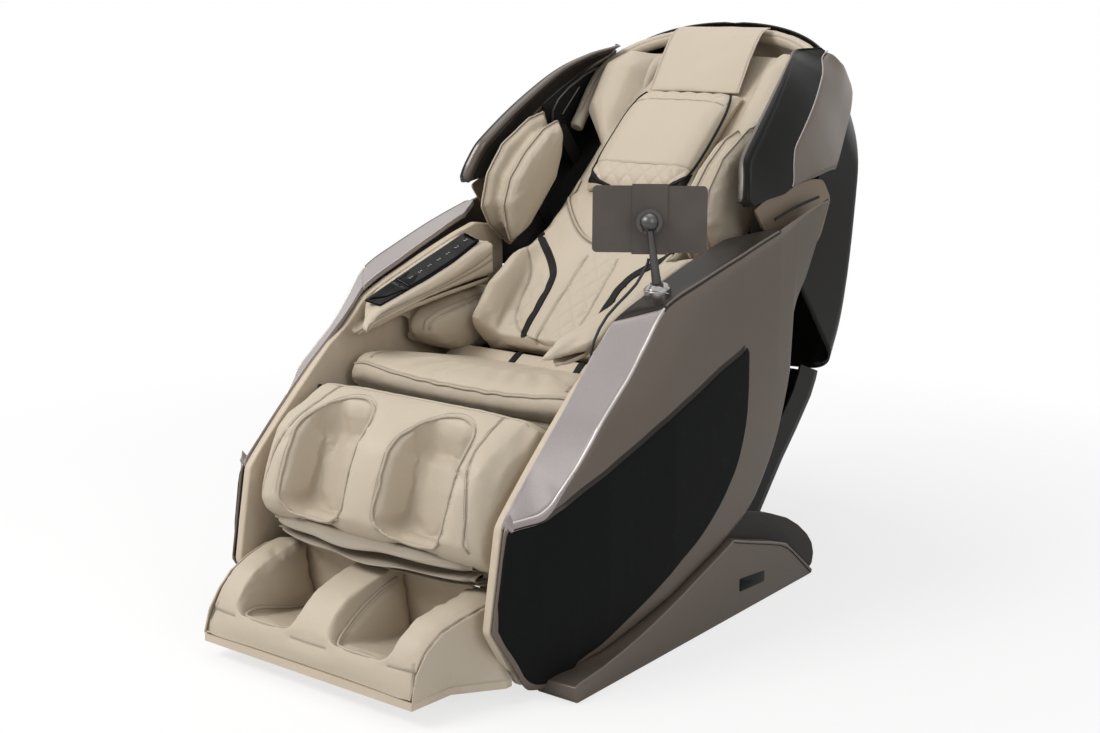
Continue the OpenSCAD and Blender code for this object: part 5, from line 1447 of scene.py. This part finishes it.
def head():
    """Head pillow, the flap over the top, the roll round the head and the small pads beside the flap."""
    grow = lambda pairs, f: [on_back(x, s, f) for x, s in pairs]
    solid = Skin(bpy.data.objects["head_pillow"])
    sides = [grow([(s * 118, 440), (s * 136, 500), (s * 141, 560), (s * 139, 640), (s * 134, 700),
        (s * 126, 762)], 300) for s in (-1, 1)]
    top = [grow([(x, 712 - 6 * (x / 140) ** 2) for x in np.linspace(-124, 124, 30)], 300)]
    low = [grow([(x, 500 + 5 * (x / 140) ** 2) for x in np.linspace(-134, 134, 30)], 300)]
    lay = lambda skin, paths: [skin.lay(p, INTO_BACK) for p in paths]
    pillow = cushion("pillow_cover", ["head_pillow"], "backrest", lay(solid, sides + top + low),
        voxel=0.005, cap=0.009)
    skin = Skin(pillow)
    fan = []
    for x in np.linspace(-110, 110, 6):
        fan += [grow([(x - 20, 716), (x, 758)], 300), grow([(x + 20, 716), (x, 758)], 300)]
    diamonds = [grow(p, 300) for p in quilt(-128, 128, 444, 496, 42, 1.2)]
    sink(pillow, lay(skin, fan + diamonds), 0.0012, 0.0024, 0.0020, 0.012, 0.1)
    skin = sewn(pillow, lay(skin, top + low), "pillow_cross_seam", "backrest", 0, depth=0.0024, puff=0.002)
    skin = Skin(pillow)
    bound = []
    for side in (-1, 1):
        inwards = on_back(-side * 1.3, 0, -1) - on_back(0, 0, 0)
        aim = [(x, up) for x, up in rounded_pairs([(76, 446), (126, 462), (139, 500), (143, 560),
            (142, 640), (137, 700), (126, 748)], 3)]
        path = []
        for p in spaced([on_back(side * (x + 65), up, 186 + 50) for x, up in aim], 0.005):
            at, normal = skin.hit(p, inwards)
            path.append(at + normal * 0.0016)
        bound.append(steady(path, 12))
    tube(bound, 0.0030, "pillow_piping", "backrest", "black_plastic", "piping", 3)
    for i, side in enumerate((-1, 1)):
        def wedge(u, v):
            x, up = mix(137, 84, u), mix(mix(452, 446, u), mix(497, 450, u), v)
            at, normal = skin.hit(on_back(side * (x + 40), up - 20, 250),
                on_back(-side * 40, 20, -70) - on_back(0, 0, 0))
            return at + normal * 0.0014

        corner = piece(facing_out(field(14, 12, wedge), on_back(0, 600, 0)), f"pillow_black_corner_{i + 1}",
            "backrest", "black_plastic", ["black leather"])
        walled(corner, 0.0008)

    solid = Skin(bpy.data.objects["head_flap"])
    rim = [grow([(s * 121, 768), (s * 120, 860), (s * 121, 950)], 300) for s in (-1, 1)]
    flap = cushion("head_flap_cover", ["head_flap"], "backrest", lay(solid, rim), voxel=0.0035,
        cap=0.003, trim=0.001)
    wrinkle(flap, on_back(20, 820, 190), on_back(1, 0.6, 0) - on_back(0, 0, 0),
        on_back(-0.6, 1, 0) - on_back(0, 0, 0), 0.0022, 5, 0.09, 0.07)
    skin = Skin(flap)
    sewn(flap, lay(skin, rim), "head_flap_seam", "backrest", 1, depth=0.0012, puff=0.0005)

    solid = Skin(bpy.data.objects["head_rim"])
    ring = cushion("head_roll_cover", ["head_rim"], "backrest", [], voxel=0.0055, cap=0.004,
        trim=0.002)
    arc = []
    for turn in np.linspace(0, 1, 80):
        angle = math.pi * turn
        x, s = math.cos(angle), math.sin(angle)
        up = 800 + 160 * s if s > 0.001 else 700
        arc.append((math.copysign(arch_x(min(up, 1000), 31), x) if abs(x) > 0.02 else 0, up))
    skin = Skin(ring)
    sewn(ring, [[skin.tree.find_nearest(on_back(x * 0.96, s - 8, 186))[0] for x, s in arc]],
        "head_roll_seam", "backrest", 0, depth=0.002, puff=0.002, line=False)

    for name, side in SIDES.items():
        def pad(u, v):
            x = mix(150, 222, u) - 10 * v
            s = mix(770, 905, v)
            bulge = 24 * math.sqrt(max(0.0,
                math.sin(math.pi * u) * math.sin(math.pi * clamp(v * 0.96 + 0.02))))
            return on_back(side * x, s, 150 + bulge)

        soft = piece(facing_out(field(26, 40, pad), on_back(side * 180, 840, 0)), f"{name}_head_side_pad",
            "backrest", "cream_leather", ["cream leather"])


def shoulder_airbags():
    """Two upright airbag cushions on each side of the shoulders, sewn round their edges."""
    outer = [(595, 262), (540, 292), (428, 318), (340, 306), (272, 262), (262, 200), (285, 112), (340, 100),
        (420, 112), (520, 160), (580, 215)]
    inner = [(576, 256), (520, 282), (428, 292), (350, 286), (290, 255), (262, 205), (250, 165), (300, 150),
        (380, 154), (470, 162), (532, 195), (570, 230)]
    for name, side in SIDES.items():
        rims = []
        for x, outline in ((299.5, outer), (249.0, inner)):
            loop = [on_back(side * x, s, f) for s, f in outline]
            rims.append(rounded(loop + [loop[0]], 2))
        bags = cushion(f"{name}_shoulder_bag_covers", [f"{name}_shoulder_airbags"], "backrest", rims,
            voxel=0.005, cap=0.010, trim=0.003, pressure=6)
        skin = Skin(bags)
        laid = [[skin.tree.find_nearest(p)[0] for p in spaced(rim, LAY_STEP)] for rim in rims]
        tube(laid, 0.0022, f"{name}_shoulder_bag_piping", "backrest", "cream_leather", "cream piping")
        sink(bags, laid, 0.002, 0.003, 0.002, 0.012)
        stitches([skin.beside(p, g, 0.0002) for p in laid for g in (0.008, -0.008)],
            f"{name}_shoulder_bag_stitches", "backrest")


def wings():
    """Wings beside the head: black front shells, bronze rear shells, silver lips and speaker panels."""
    for name, side in SIDES.items():
        centre = on_back(side * 330, 600, 180)

        def section(s, v, split, thick):
            """Round a wing's section: over its outside, round its front edge and back along its inside."""
            front = wing_front_f(s)
            t = thick * 0.5
            reach = max(front - split - t, 2)
            if v < 0.5:
                f = split + reach * (v / 0.5)
                return wing_x(s, f), f
            angle = (v - 0.5) / 0.5 * math.pi / 2
            f = split + reach + t * math.sin(angle) * 0.9
            return wing_x(s, split + reach) - t * (1 - math.cos(angle)), f

        def black(u, v):
            s = mix(330.5, 905.5, u)
            close = math.sqrt(clamp(min(u, 1 - u) / 0.02))
            thick = wing_thick(s)
            x, f = section(s, v, wing_split_f(s) + 1, thick)
            return on_back(side * (x - thick * 0.5 * (1 - close)), s, f)

        front = facing_out(field(90, 30, black), centre)
        piece(front, f"{name}_wing_front_skin", "backrest", "dark_gloss", ["gloss"], [f"{name}_wing_front"])

        def lip(u, v):
            s = mix(331, 905, u)
            close = math.sqrt(clamp(min(u, 1 - u) / 0.02))
            thick = wing_thick(s)
            t = thick * 0.5
            split = wing_split_f(s) + 1
            reach = max(wing_front_f(s) - split - t, 2)
            base = wing_x(s, split + reach)
            if v < 0.5:
                angle = (0.5 - v) / 0.5 * math.pi / 2
                x, f = base - t - t * math.cos(angle) * close, split + reach + t * 0.9 * math.sin(angle)
            else:
                k = (v - 0.5) / 0.5
                f = split + reach - min(18, reach - 1) * k
                x = wing_x(s, f) - thick * mix(1.0, 0.86, ease(0.7, 1, k)) * close - t * (1 - close)
            return on_back(side * x, s, f)

        piece(facing_out(field(90, 20, lip), on_back(side * 395, 600, 220)), f"{name}_wing_lip", "backrest",
            "silver_trim", ["wing edge"],
            ["wing_lips"] if side > 0 else ())

        def inside(u, v):
            s = mix(334, 900, u)
            thick = wing_thick(s)
            split = wing_split_f(s)
            f = mix(split + 2, wing_front_f(s) - thick * 0.5 - 14, v)
            return on_back(side * (wing_x(s, max(f, split)) - thick * 0.84), s, max(f, split))

        piece(facing_out(field(80, 12, inside), on_back(side * 450, 600, 220)), f"{name}_wing_inside",
            "backrest", "dark_gloss", ["dark plastic"])

        def rear(u, v):
            s = mix(479, 917, u)
            close = math.sqrt(clamp(min(u, 1 - u) / 0.015))
            r, f1 = wing_rear_f(s), wing_split_f(min(s, 905)) if s < 905 else mix(180, 100, (s - 905) / 12)
            f = mix(r, f1, v)
            edge = 4 * (1 - math.sqrt(clamp(min(v, 1 - v) / 0.06)))
            return on_back(side * (wing_x(min(s, 905),
                f) + (wing_rear_x(s) - wing_rear_x(min(s, 905))) - edge - 4 * (1 - close)), s, f)

        bronze = piece(facing_out(field(80, 24, rear), centre), f"{name}_wing_rear_skin", "backrest",
            "bronze_shell", ["bronze"],
            ["wing_rear_panels"] if side > 0 else ())
        walled(bronze, 0.012)
        seam = [on_back(side * (wing_x(s, wing_split_f(s)) + 0.2), s, wing_split_f(s) + 0.5)
            for s in np.linspace(478, 904, 90)]
        tube([seam], 0.0018, f"{name}_wing_bright_line", "backrest", "silver_trim", "silver")

        def speaker(u, v):
            s = mix(650, 870, u)
            f = mix(wing_rear_f(s) + 16, wing_split_f(s) - 4, v)
            d = min(u, 1 - u, v, 1 - v)
            return on_back(side * (wing_x(s, f) - wing_thick(s) * 0.7 - 3 - 9 * ease(0, 0.1, d)), s, f)

        box = piece(facing_out(field(40, 20, speaker), on_back(side * 450, 760, 130)),
            f"{name}_speaker_panel", "backrest", "dark_gloss", ["mesh"],
            ["speaker_panels"] if side > 0 else ())
        walled(box, 0.002)
        ring = []
        for s, k in [(656, 0), (864, 0), (864, 1), (656, 1), (656, 0)]:
            f = mix(wing_rear_f(s) + 20, wing_split_f(s) - 8, k)
            ring.append(on_back(side * (wing_x(s, f) - wing_thick(s) * 0.7 - 6), s, f))
        tube([rounded(ring, 2)], 0.0038, f"{name}_speaker_frame", "backrest", "silver_trim", "wing edge", 2)
        slot = [on_back(side * (wing_x(s, 160) - wing_thick(s) * 0.7 - 13), s,
            mix(150, 168, (s - 690) / 80)) for s in np.linspace(690, 770, 12)]
        tube([slot], 0.0035, f"{name}_speaker_slot", "backrest", "silver_trim", "satin")


def back_sides():
    """Tan plates under the wings with their dark slot, and the posts that carry the wings."""
    outline = [(352, 245), (389, 232), (478, 182), (567, 116), (600, 80), (600, 20), (520, -12), (470, -12),
        (400, 90), (350, 180)]
    for name, side in SIDES.items():
        loop = [on_back(side * 390, s, f) for s, f in rounded_outline(outline, 14)]
        bm = facing_out(board(loop, mm(-side * 6, 0, 0)), on_back(side * 387, 480, 100))
        plate = piece(bm, f"{name}_back_side_plate", "backrest", "bronze_shell", ["tan"],
            ["back_side_panels"] if side > 0 else ())
        softened(plate, 0.0015)
        rib = [on_back(side * 390.6, s, f) for s, f in ((395, 170), (470, 128), (560, 66))]
        tube([rounded(rib, 2)], 0.003, f"{name}_back_side_slot", "backrest", "dark_gloss", "seam line")


BLUNT_FROM, BLUNT_BACK, BLUNT_UP = -0.356, 0.62, 0.30


def blunt(points, outs):
    """Draws in the sharp front end of an arm rest and rounds its lower corner."""
    found = np.array(points)
    ahead = np.clip(BLUNT_FROM - found[:, 1], 0, None)
    found[:, 1] += ahead * BLUNT_BACK
    found[:, 2] += ahead * BLUNT_UP
    return found


def arms():
    """Upholstered arm rests with a seam, quilted forearm pads and piped hip cushions."""
    for name, side in SIDES.items():
        low = flow([[-394, 574], [-346, 599], [-140, 640], [60, 660]])
        high_in = flow([[-394, 604], [-363, 621], [-140, 665], [-37, 696], [60, 744]])
        pad = cushion(f"{name}_arm_rest", [f"{name}_arm_pad"], "seat_unit", [], voxel=0.005, cap=0.0025,
            trim=0.0015, shape=blunt)
        skin = Skin(pad)
        into = Vector((side, 0, 0))
        run = [skin.lay([mm(side * 150, y, mix(low(y), high_in(y), k)) for y in np.linspace(-372, 50, 60)],
            into) for k in (0.62, 0.42)]
        skin = sewn(pad, run, f"{name}_arm_rest_seam", "seat_unit", 0, depth=0.002, puff=0.002, wide=0.01)

        def forearm(u, v):
            y = mix(-364, 52, u)
            base = low(y) + 1
            swell_in = math.sqrt(clamp(u / 0.12)) * math.sqrt(clamp((1 - u) / 0.04))
            deep = 15 * swell_in
            angle = v * math.pi
            x = 268 - (30 + 12 * ease(0.1, 0.8, u)) * math.cos(angle) * swell_in
            quilted = 1.6 * (abs(math.sin(u * 26 + v * 4)) + abs(math.sin(u * 26 - v * 4)))
            return mm(side * x, y, base - (deep * math.sin(angle) ** 0.6 if 0 < v < 1
                else 0) - quilted * math.sin(angle))

        quilted_pad = piece(facing_out(field(150, 30, forearm), mm(side * 268, -150, 640)),
            f"{name}_forearm_quilt", "seat_unit", "cream_leather", ["quilted leather"])

    top_now = line([[-182, 550], [-150, 568], [-60, 590], [60, 618], [140, 632], [172, 606]])
    top_real = line([[-182, 572], [-172, 596], [-150, 608], [-60, 622], [60, 634], [140, 634], [172, 606]])

    def raise_top(points, outs):
        """Lifts the hip cushion's upper edge to the quilted pad above it."""
        found = np.array(points)
        for i, p in enumerate(points):
            y, z = p[1] * 1000, p[2] * 1000
            if -184 < y < 174 and z > 500 and z < top_now(y) + 4 and abs(p[0]) < 0.303:
                share = clamp((z - 500) / (top_now(y) - 500))
                found[i, 2] += share * (top_real(y) - top_now(y)) / 1000
        return found

    bags = cushion("arm_bag_covers", ["arm_airbags"], "seat_unit", [], voxel=0.006, cap=0.009,
        pressure=6, shape=raise_top)
    outline = [(-180, 560), (-172, 590), (-150, 604), (-60, 618), (60, 630), (140, 632), (168, 612),
        (172, 580), (140, 548), (96, 508)]
    skin = Skin(bags)
    for name, side in SIDES.items():
        rim = [skin.tree.find_nearest(mm(side * 238, y, z))[0] for y, z in rounded_pairs(outline)]
        tube([rim], 0.0024, f"{name}_hip_piping", "seat_unit", "cream_leather", "cream piping")
        sewn(bags, [skin.beside(rim, 0.010)], f"{name}_hip_seam", "seat_unit", 1, depth=0.002, puff=0.002,
            wide=0.01)


def touch_panel():
    """Black touch panel on the right arm: two glass faces, slanted dividers and plain round marks."""
    skin = Skin(bpy.data.objects["control_panel"], bpy.data.objects["right_arm_rest"])
    down = Vector((0, 0, -1))

    def sheet(corners_of, name, lift=0.0016):
        def place(u, v):
            a, b, c, d = corners_of
            x = mix(mix(a[0], b[0], u), mix(d[0], c[0], u), v)
            y = mix(mix(a[1], b[1], u), mix(d[1], c[1], u), v)
            at, _ = skin.hit(mm(x, y, 900), down)
            return at + Vector((0, 0, lift))

        return walled(piece(facing_out(field(24, 8, place), mm(-270, -150, 300)), name, "seat_unit",
            "dark_gloss", ["panel"]), 0.0012)

    sheet([(-250.5, -205), (-250.5, 27), (-292.5, 27), (-292.5, -205)], "touch_panel_long_face")
    sheet([(-250.5, -216), (-292.5, -216), (-286, -296), (-262, -270)], "touch_panel_front_face")
    marks, rings = [], []
    for i, y in enumerate(np.linspace(-178, 8, 7)):
        at, _ = skin.hit(mm(-271.5, y, 900), down)
        at += Vector((0, 0, 0.0021))
        rings.append([at + mm(4.2 * math.cos(t), 4.2 * math.sin(t), 1.4 * math.sin(t))
            for t in np.linspace(0.6, 5.7, 14)])
        if i:
            a, _ = skin.hit(mm(-256, y - 18, 900), down)
            b, _ = skin.hit(mm(-287, y - 10, 900), down)
            marks.append([a + Vector((0, 0, 0.002)), b + Vector((0, 0, 0.002))])
    tube(rings, 0.0006, "touch_panel_marks", "seat_unit", "silver_trim", "icons", 1)
    tube(marks, 0.0003, "touch_panel_dividers", "seat_unit", "dark_gloss", "dark plastic", 0)


# ---- Stand, tablet, hood and the frame's own parts ----

CABLE = [[346, -166, 780], [345, -167, 772], [342, -171, 760], [338, -179, 747], [335, -191, 732],
    [330, -215, 714],
    [325, -242, 697], [319, -266, 678], [314, -284, 656], [311, -298, 633], [310, -306, 611],
    [312, -308, 598],
    [316, -308, 595], [319.7, -308, 595]]


def cable():
    """The tablet's cable, from the stand's stem down over the arm into the inner board."""
    curve = round_line([[mm(*at) for at in CABLE]], 0.003, 4, "tablet_cable_sheath")
    obj = linked("tablet_cable_sheath", curve)
    curve.materials.append(PAINT["cable"])
    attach(obj, "seat_unit")
    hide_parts("tablet_cable")
    run = sum((mm(*b) - mm(*a)).length for a, b in zip(CABLE, CABLE[1:]))
    tuple(mm(*CABLE[0]))


def stand():
    """Chamfered foot of the tablet stand, and the tablet's clamp band, chrome lips and ball collar."""
    tip = mm(358, -150, 711.27)
    bm = bmesh.new()
    bmesh.ops.create_cone(bm, cap_ends=True, segments=64, radius1=0.0285, radius2=0.0235, depth=0.012)
    bmesh.ops.rotate(bm, verts=bm.verts[:], cent=(0, 0, 0),
        matrix=Matrix.Rotation(math.radians(-20.5), 3, "X"))
    bmesh.ops.translate(bm, verts=bm.verts[:], vec=tip + Vector((0, 0, 0.004)))
    foot = piece(bm, "stand_foot_collar", "seat_unit", "silver_trim", ["chrome"])
    softened(foot, 0.002, 3)

    bodies = bpy.data.objects["tablet"].data
    points = np.array([tuple(v.co) for v in bodies.vertices])
    middle = (points.max(axis=0) + points.min(axis=0)) / 2
    _, _, axes = np.linalg.svd(points - points.mean(axis=0), full_matrices=False)
    across, tall, thin = (Vector(a) for a in axes)
    across = across if across.x > 0 else -across
    tall = tall if tall.z > 0 else -tall
    thin = across.cross(tall)
    ball = mm(358, -183.07, 854.5)
    if thin.dot(ball - Vector(middle)) < 0:
        thin = -thin
    spans = [(points - middle) @ np.array(a) for a in (across, tall, thin)]
    half = [float(span.max()) for span in spans]
    middle = Vector(middle)
    clip = lambda a, b, c: middle + across * a + tall * b + thin * c

    def plate(name, low, high, front, back, finish, body="tablet_holder", slot="tablet_body", soft=0.002,
        wide=0.035):
        bm = bmesh.new()
        bmesh.ops.create_cube(bm, size=1)
        for v in bm.verts:
            v.co = clip(v.co.x * 2 * wide, mix(low, high, v.co.y + 0.5), mix(front, back, v.co.z + 0.5))
        bmesh.ops.recalc_face_normals(bm, faces=bm.faces[:])
        obj = piece(bm, name, body, slot, [finish])
        softened(obj, soft, 3)

    body = "tablet_holder"
    plate("tablet_clamp_band", -half[1] - 0.002, half[1] + 0.002, half[2] + 0.0003, half[2] + 0.0022,
        "tablet", body)
    plate("tablet_clamp_top_lip", half[1] + 0.0004, half[1] + 0.0034, -half[2] * 0.9, half[2] + 0.0024,
        "chrome", body, "silver_trim", 0.001)
    plate("tablet_clamp_low_lip", -half[1] - 0.0034, -half[1] - 0.0004, -half[2] * 0.9, half[2] + 0.0024,
        "chrome", body, "silver_trim", 0.001)
    rings = []
    for radius, out in ((0.0175, 0.0034), (0.0215, 0.0028)):
        rings.append([
            clip(0, 0, half[2] + out) + (ball - middle - thin * (ball - middle).dot(thin))
            + across * radius * math.cos(t) + tall * radius * math.sin(t)
            for t in np.linspace(0, 2 * math.pi, 49)
        ])
    tube(rings, 0.0022, "tablet_ball_rings", body, "silver_trim", "satin", 3)


def hood():
    """Lacquered hood over the back, with joint lines and cooling slots."""
    cover_front = flow([[445, -60], [600, 40], [700, 70], [800, 105], [860, 125], [920, 150], [1009, 172]])
    cover_rear = flow([[445, -422], [523, -392], [607, -340], [738, -232], [856, -116], [897, -57],
        [932, 10], [960, 50], [985, 92], [1003, 130], [1009, 150]])

    def round_section(s, k):
        """Round the hood from one front edge over the rear to the other."""
        half, front = max(arch_x(s), 0.5), cover_front(s)
        rear = min(cover_rear(s), front - 3)
        corner = min(80.0, half * 0.9, (front - rear) * 0.6)
        deep, flat, arc = front - rear - corner, half - corner, corner * math.pi / 2
        run = 2 * (deep + arc + flat) * k
        side = 1
        if run > deep + arc + flat:
            run, side = 2 * (deep + arc + flat) - run, -1
        if run < deep:
            x, f = half, front - run
        elif run < deep + arc:
            a = (run - deep) / corner
            x, f = half - corner * (1 - math.cos(a)), rear + corner * (1 - math.sin(a))
        else:
            x, f = half - corner - (run - deep - arc), rear
        return side * x, f - 20 * (1 - (x / max(half, 1)) ** 2) * clamp((front - rear) / 120)

    def skin(u, v):
        s = mix(445, 1009.0, 1 - (1 - v) ** 1.7)
        x, f = round_section(s, u)
        return on_back(x, s, f)

    shell = piece(facing_out(field(120, 80, skin), on_back(0, 700, 40)), "hood_shell", "backrest",
        "dark_gloss", ["rear gloss"], ["rear_cover"])
    walled(shell, 0.0042)
    surface = Skin(shell)
    away = on_back(0, 0, 1) - on_back(0, 0, 0)
    lay = lambda pairs, lift=0.0: surface.lay([on_back(x, s, -700) for x, s in pairs], away, lift)
    lines = [lay([(x, 470), (x * 0.94, 620), (x * 0.8, 800), (x * 0.62, 900)]) for x in (-200, 200)]
    lines.append(lay([(-240, 640), (-120, 652), (0, 656), (120, 652), (240, 640)]))
    tube(lines, 0.0012, "hood_joint_lines", "backrest", "dark_gloss", "seam line", 1)
    vents = [lay([(x - 46, s), (x + 46, s)], -0.0006) for x in (-90, 90) for s in np.linspace(700, 778, 7)]
    tube(vents, 0.0030, "hood_vents", "backrest", "dark_gloss", "mesh", 2)


NODE_FINISHES = {
    "frame": ["base_frame", "seat_frame", "back_frame", "legrest_frame", "calf_shell"],
    "rod": ["recline_rod", "legrest_rod", "kneading_shaft", "base_rails", "massage_rails"],
    "zinc": ["massage_carriage", "roller_yoke"],
    "black plastic": ["power_panel", "control_box", "air_pump", "recline_motor", "legrest_motor",
    "rail_blocks"],
    "rear gloss": ["lower_rear_cover"],
    "rubber": ["base_feet", "left_transport_wheel", "right_transport_wheel"],
    "nylon": ["upper_rollers", "lower_rollers"],
    "grey nylon": ["foot_rollers"],
    "rocker": ["power_rocker"],
    "satin": ["tablet_stem", "tablet_ring"],
    "tablet": ["tablet", "tablet_holder"],
    "chrome": ["stand_foot"],
    "liner": ["footrest_shell"],
    "panel": ["control_panel"],
}


def frame_parts():
    """Finishes of the frame's parts that show as they are."""
    for finish, nodes in NODE_FINISHES.items():
        for node in nodes:
            coat(bpy.data.objects[node], finish)


# ---- Stage ----


def camera():
    """The view, from the chair's left front."""
    az, el = math.radians(VIEW_TURN), math.radians(VIEW_TILT)
    back = Vector((math.sin(az) * math.cos(el), -math.cos(az) * math.cos(el), math.sin(el)))
    right = Vector((math.cos(az), math.sin(az), 0))
    up = back.cross(right)
    data = bpy.data.cameras.new("view")
    data.sensor_width, data.lens = SENSOR, SENSOR * VIEW_FOCUS / VIEW_POINTS
    data.shift_x, data.shift_y = VIEW_SHIFT / VIEW_POINTS, -VIEW_SHIFT / VIEW_POINTS
    obj = linked("view", data)
    place = Matrix((right, up, back)).transposed().to_4x4()
    place.translation = VIEW_AT
    obj.matrix_world = place
    bpy.context.scene.camera = obj


def soft_light(name, at, aim, size, power, tint):
    """A large soft lamp."""
    data = bpy.data.lights.new(name, "AREA")
    data.shape, data.size, data.size_y, data.energy, data.color = "RECTANGLE", size[0], size[1], power, tint
    obj = linked(name, data)
    obj.location = at
    obj.rotation_euler = (Vector(aim) - Vector(at)).to_track_quat("-Z", "Y").to_euler()


def stage():
    """Pale floor, white surround that doesn't light the chair, and the studio's soft lamps."""
    world = bpy.data.worlds.new("studio")
    bpy.context.scene.world = world
    world.use_nodes = True
    tree = world.node_tree
    tree.nodes.clear()
    out = tree.nodes.new("ShaderNodeOutputWorld")
    path = tree.nodes.new("ShaderNodeLightPath")
    glow, white, mixed = (tree.nodes.new(k)
        for k in ("ShaderNodeBackground", "ShaderNodeBackground", "ShaderNodeMixShader"))
    glow.inputs["Color"].default_value, glow.inputs["Strength"].default_value = (1, 1, 1, 1), SURROUND
    white.inputs["Color"].default_value = (1, 1, 1, 1)
    seen = tree.nodes.new("ShaderNodeMath")
    seen.operation, seen.use_clamp = "ADD", True
    seen_too = tree.nodes.new("ShaderNodeMath")
    seen_too.operation, seen_too.use_clamp = "ADD", True
    link = tree.links.new
    link(path.outputs["Is Camera Ray"], seen.inputs[0])
    link(path.outputs["Is Glossy Ray"], seen.inputs[1])
    link(seen.outputs[0], seen_too.inputs[0])
    link(path.outputs["Is Transmission Ray"], seen_too.inputs[1])
    link(seen_too.outputs[0], mixed.inputs[0])
    link(glow.outputs[0], mixed.inputs[1])
    link(white.outputs[0], mixed.inputs[2])
    link(mixed.outputs[0], out.inputs[0])

    mat = bpy.data.materials.new("pale floor")
    mat.use_nodes = True
    tree = mat.node_tree
    link = tree.links.new
    shader = tree.nodes["Principled BSDF"]
    shader.inputs["Base Color"].default_value = (0.9, 0.9, 0.9, 1)
    shader.inputs["Roughness"].default_value = 0.8
    shader.inputs["Specular IOR Level"].default_value = 0.1
    path, bright, joined = (tree.nodes.new(k)
        for k in ("ShaderNodeLightPath", "ShaderNodeEmission", "ShaderNodeMixShader"))
    share, place, away, ring = (tree.nodes.new(k)
        for k in ("ShaderNodeMath", "ShaderNodeTexCoord", "ShaderNodeVectorMath", "ShaderNodeMapRange"))
    share.operation, away.operation = "MULTIPLY", "LENGTH"
    for key, value in (("From Min", 0.9), ("From Max", 2.4), ("To Min", 0.72), ("To Max", 1.0)):
        ring.inputs[key].default_value = value
    link(place.outputs["Object"], away.inputs[0])
    link(away.outputs["Value"], ring.inputs["Value"])
    link(ring.outputs["Result"], share.inputs[1])
    link(path.outputs["Is Camera Ray"], share.inputs[0])
    link(share.outputs[0], joined.inputs[0])
    link(shader.outputs[0], joined.inputs[1])
    link(bright.outputs[0], joined.inputs[2])
    link(joined.outputs[0], tree.nodes["Material Output"].inputs[0])

    bm = bmesh.new()
    bmesh.ops.create_grid(bm, x_segments=1, y_segments=1, size=14)
    mesh = bpy.data.meshes.new("floor")
    bm.to_mesh(mesh)
    bm.free()
    floor = linked("floor", mesh)
    floor.data.materials.append(mat)
    floor.location.z = -0.0005
    floor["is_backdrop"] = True

    for lamp in LAMPS:
        soft_light(*lamp)
    bpy.context.scene.view_settings.view_transform = "Standard"


# ---- The operators and their panel ----


def operator(name, label, words, work):
    """An operator for one group of pieces, which does its work in execute."""

    def execute(self, context):
        work()
        return {"FINISHED"}

    return type(
        "CHAIR_OT_" + name,
        (bpy.types.Operator,),
        {
            "bl_idname": "chair." + name,
            "bl_label": label,
            "__doc__": words,
            "bl_options": {"REGISTER", "UNDO"},
            "execute": execute,
        },
    )


GROUPS = [
    ("cable", "Tablet cable", cable),
    ("frame_parts", "Frame finishes", frame_parts),
    ("side_shells", "Side shells", side_shells),
    ("skids", "Skid covers", skids),
    ("hood", "Hood", hood),
    ("wings", "Wings", wings),
    ("back_sides", "Back side plates", back_sides),
    ("linings", "Linings", linings),
    ("back_pad", "Back pad", back_pad),
    ("head", "Head rest", head),
    ("shoulder_airbags", "Shoulder airbags", shoulder_airbags),
    ("seat_cushion", "Seat", seat_cushion),
    ("calf_cushion", "Calf rest", calf_cushion),
    ("gusset", "Folded gusset", gusset),
    ("foot_cushion", "Foot rest", foot_cushion),
    ("arms", "Arm rests", arms),
    ("touch_panel", "Touch panel", touch_panel),
    ("stand", "Tablet stand", stand),
    ("stage", "Stage", stage),
]
OPERATORS = [operator(name, label, work.__doc__ or label, work) for name, label, work in GROUPS]


class CHAIR_PT_panel(bpy.types.Panel):
    """Lists the chair's colours, sizes and the pieces that can be made"""

    bl_label = "Massage Chair"
    bl_idname = "CHAIR_PT_panel"
    bl_space_type = "VIEW_3D"
    bl_region_type = "UI"
    bl_category = "Chair"

    def draw(self, context):
        layout = self.layout
        for group in (context.scene.chair_colours, context.scene.chair_sizes):
            for name in group.bl_rna.properties.keys():
                if name not in ("rna_type", "name"):
                    layout.prop(group, name)
        for kind in OPERATORS:
            layout.operator(kind.bl_idname)


CLASSES = [ChairColours, ChairSizes, *OPERATORS, CHAIR_PT_panel]


def register():
    for kind in CLASSES:
        bpy.utils.register_class(kind)
    bpy.types.Scene.chair_colours = PointerProperty(type=ChairColours)
    bpy.types.Scene.chair_sizes = PointerProperty(type=ChairSizes)


def unregister():
    del bpy.types.Scene.chair_sizes
    del bpy.types.Scene.chair_colours
    for kind in reversed(CLASSES):
        bpy.utils.unregister_class(kind)


def main():
    register()
    PAINT.update(make_finishes())
    camera()
    for name, _, _ in GROUPS:
        getattr(bpy.ops.chair, name)()
    plain = lambda box: [[float(n) for n in corner] for corner in box]
    {"cad": plain(CAD_BOX), "visual": plain(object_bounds())}


if __name__ == "__main__":
    main()
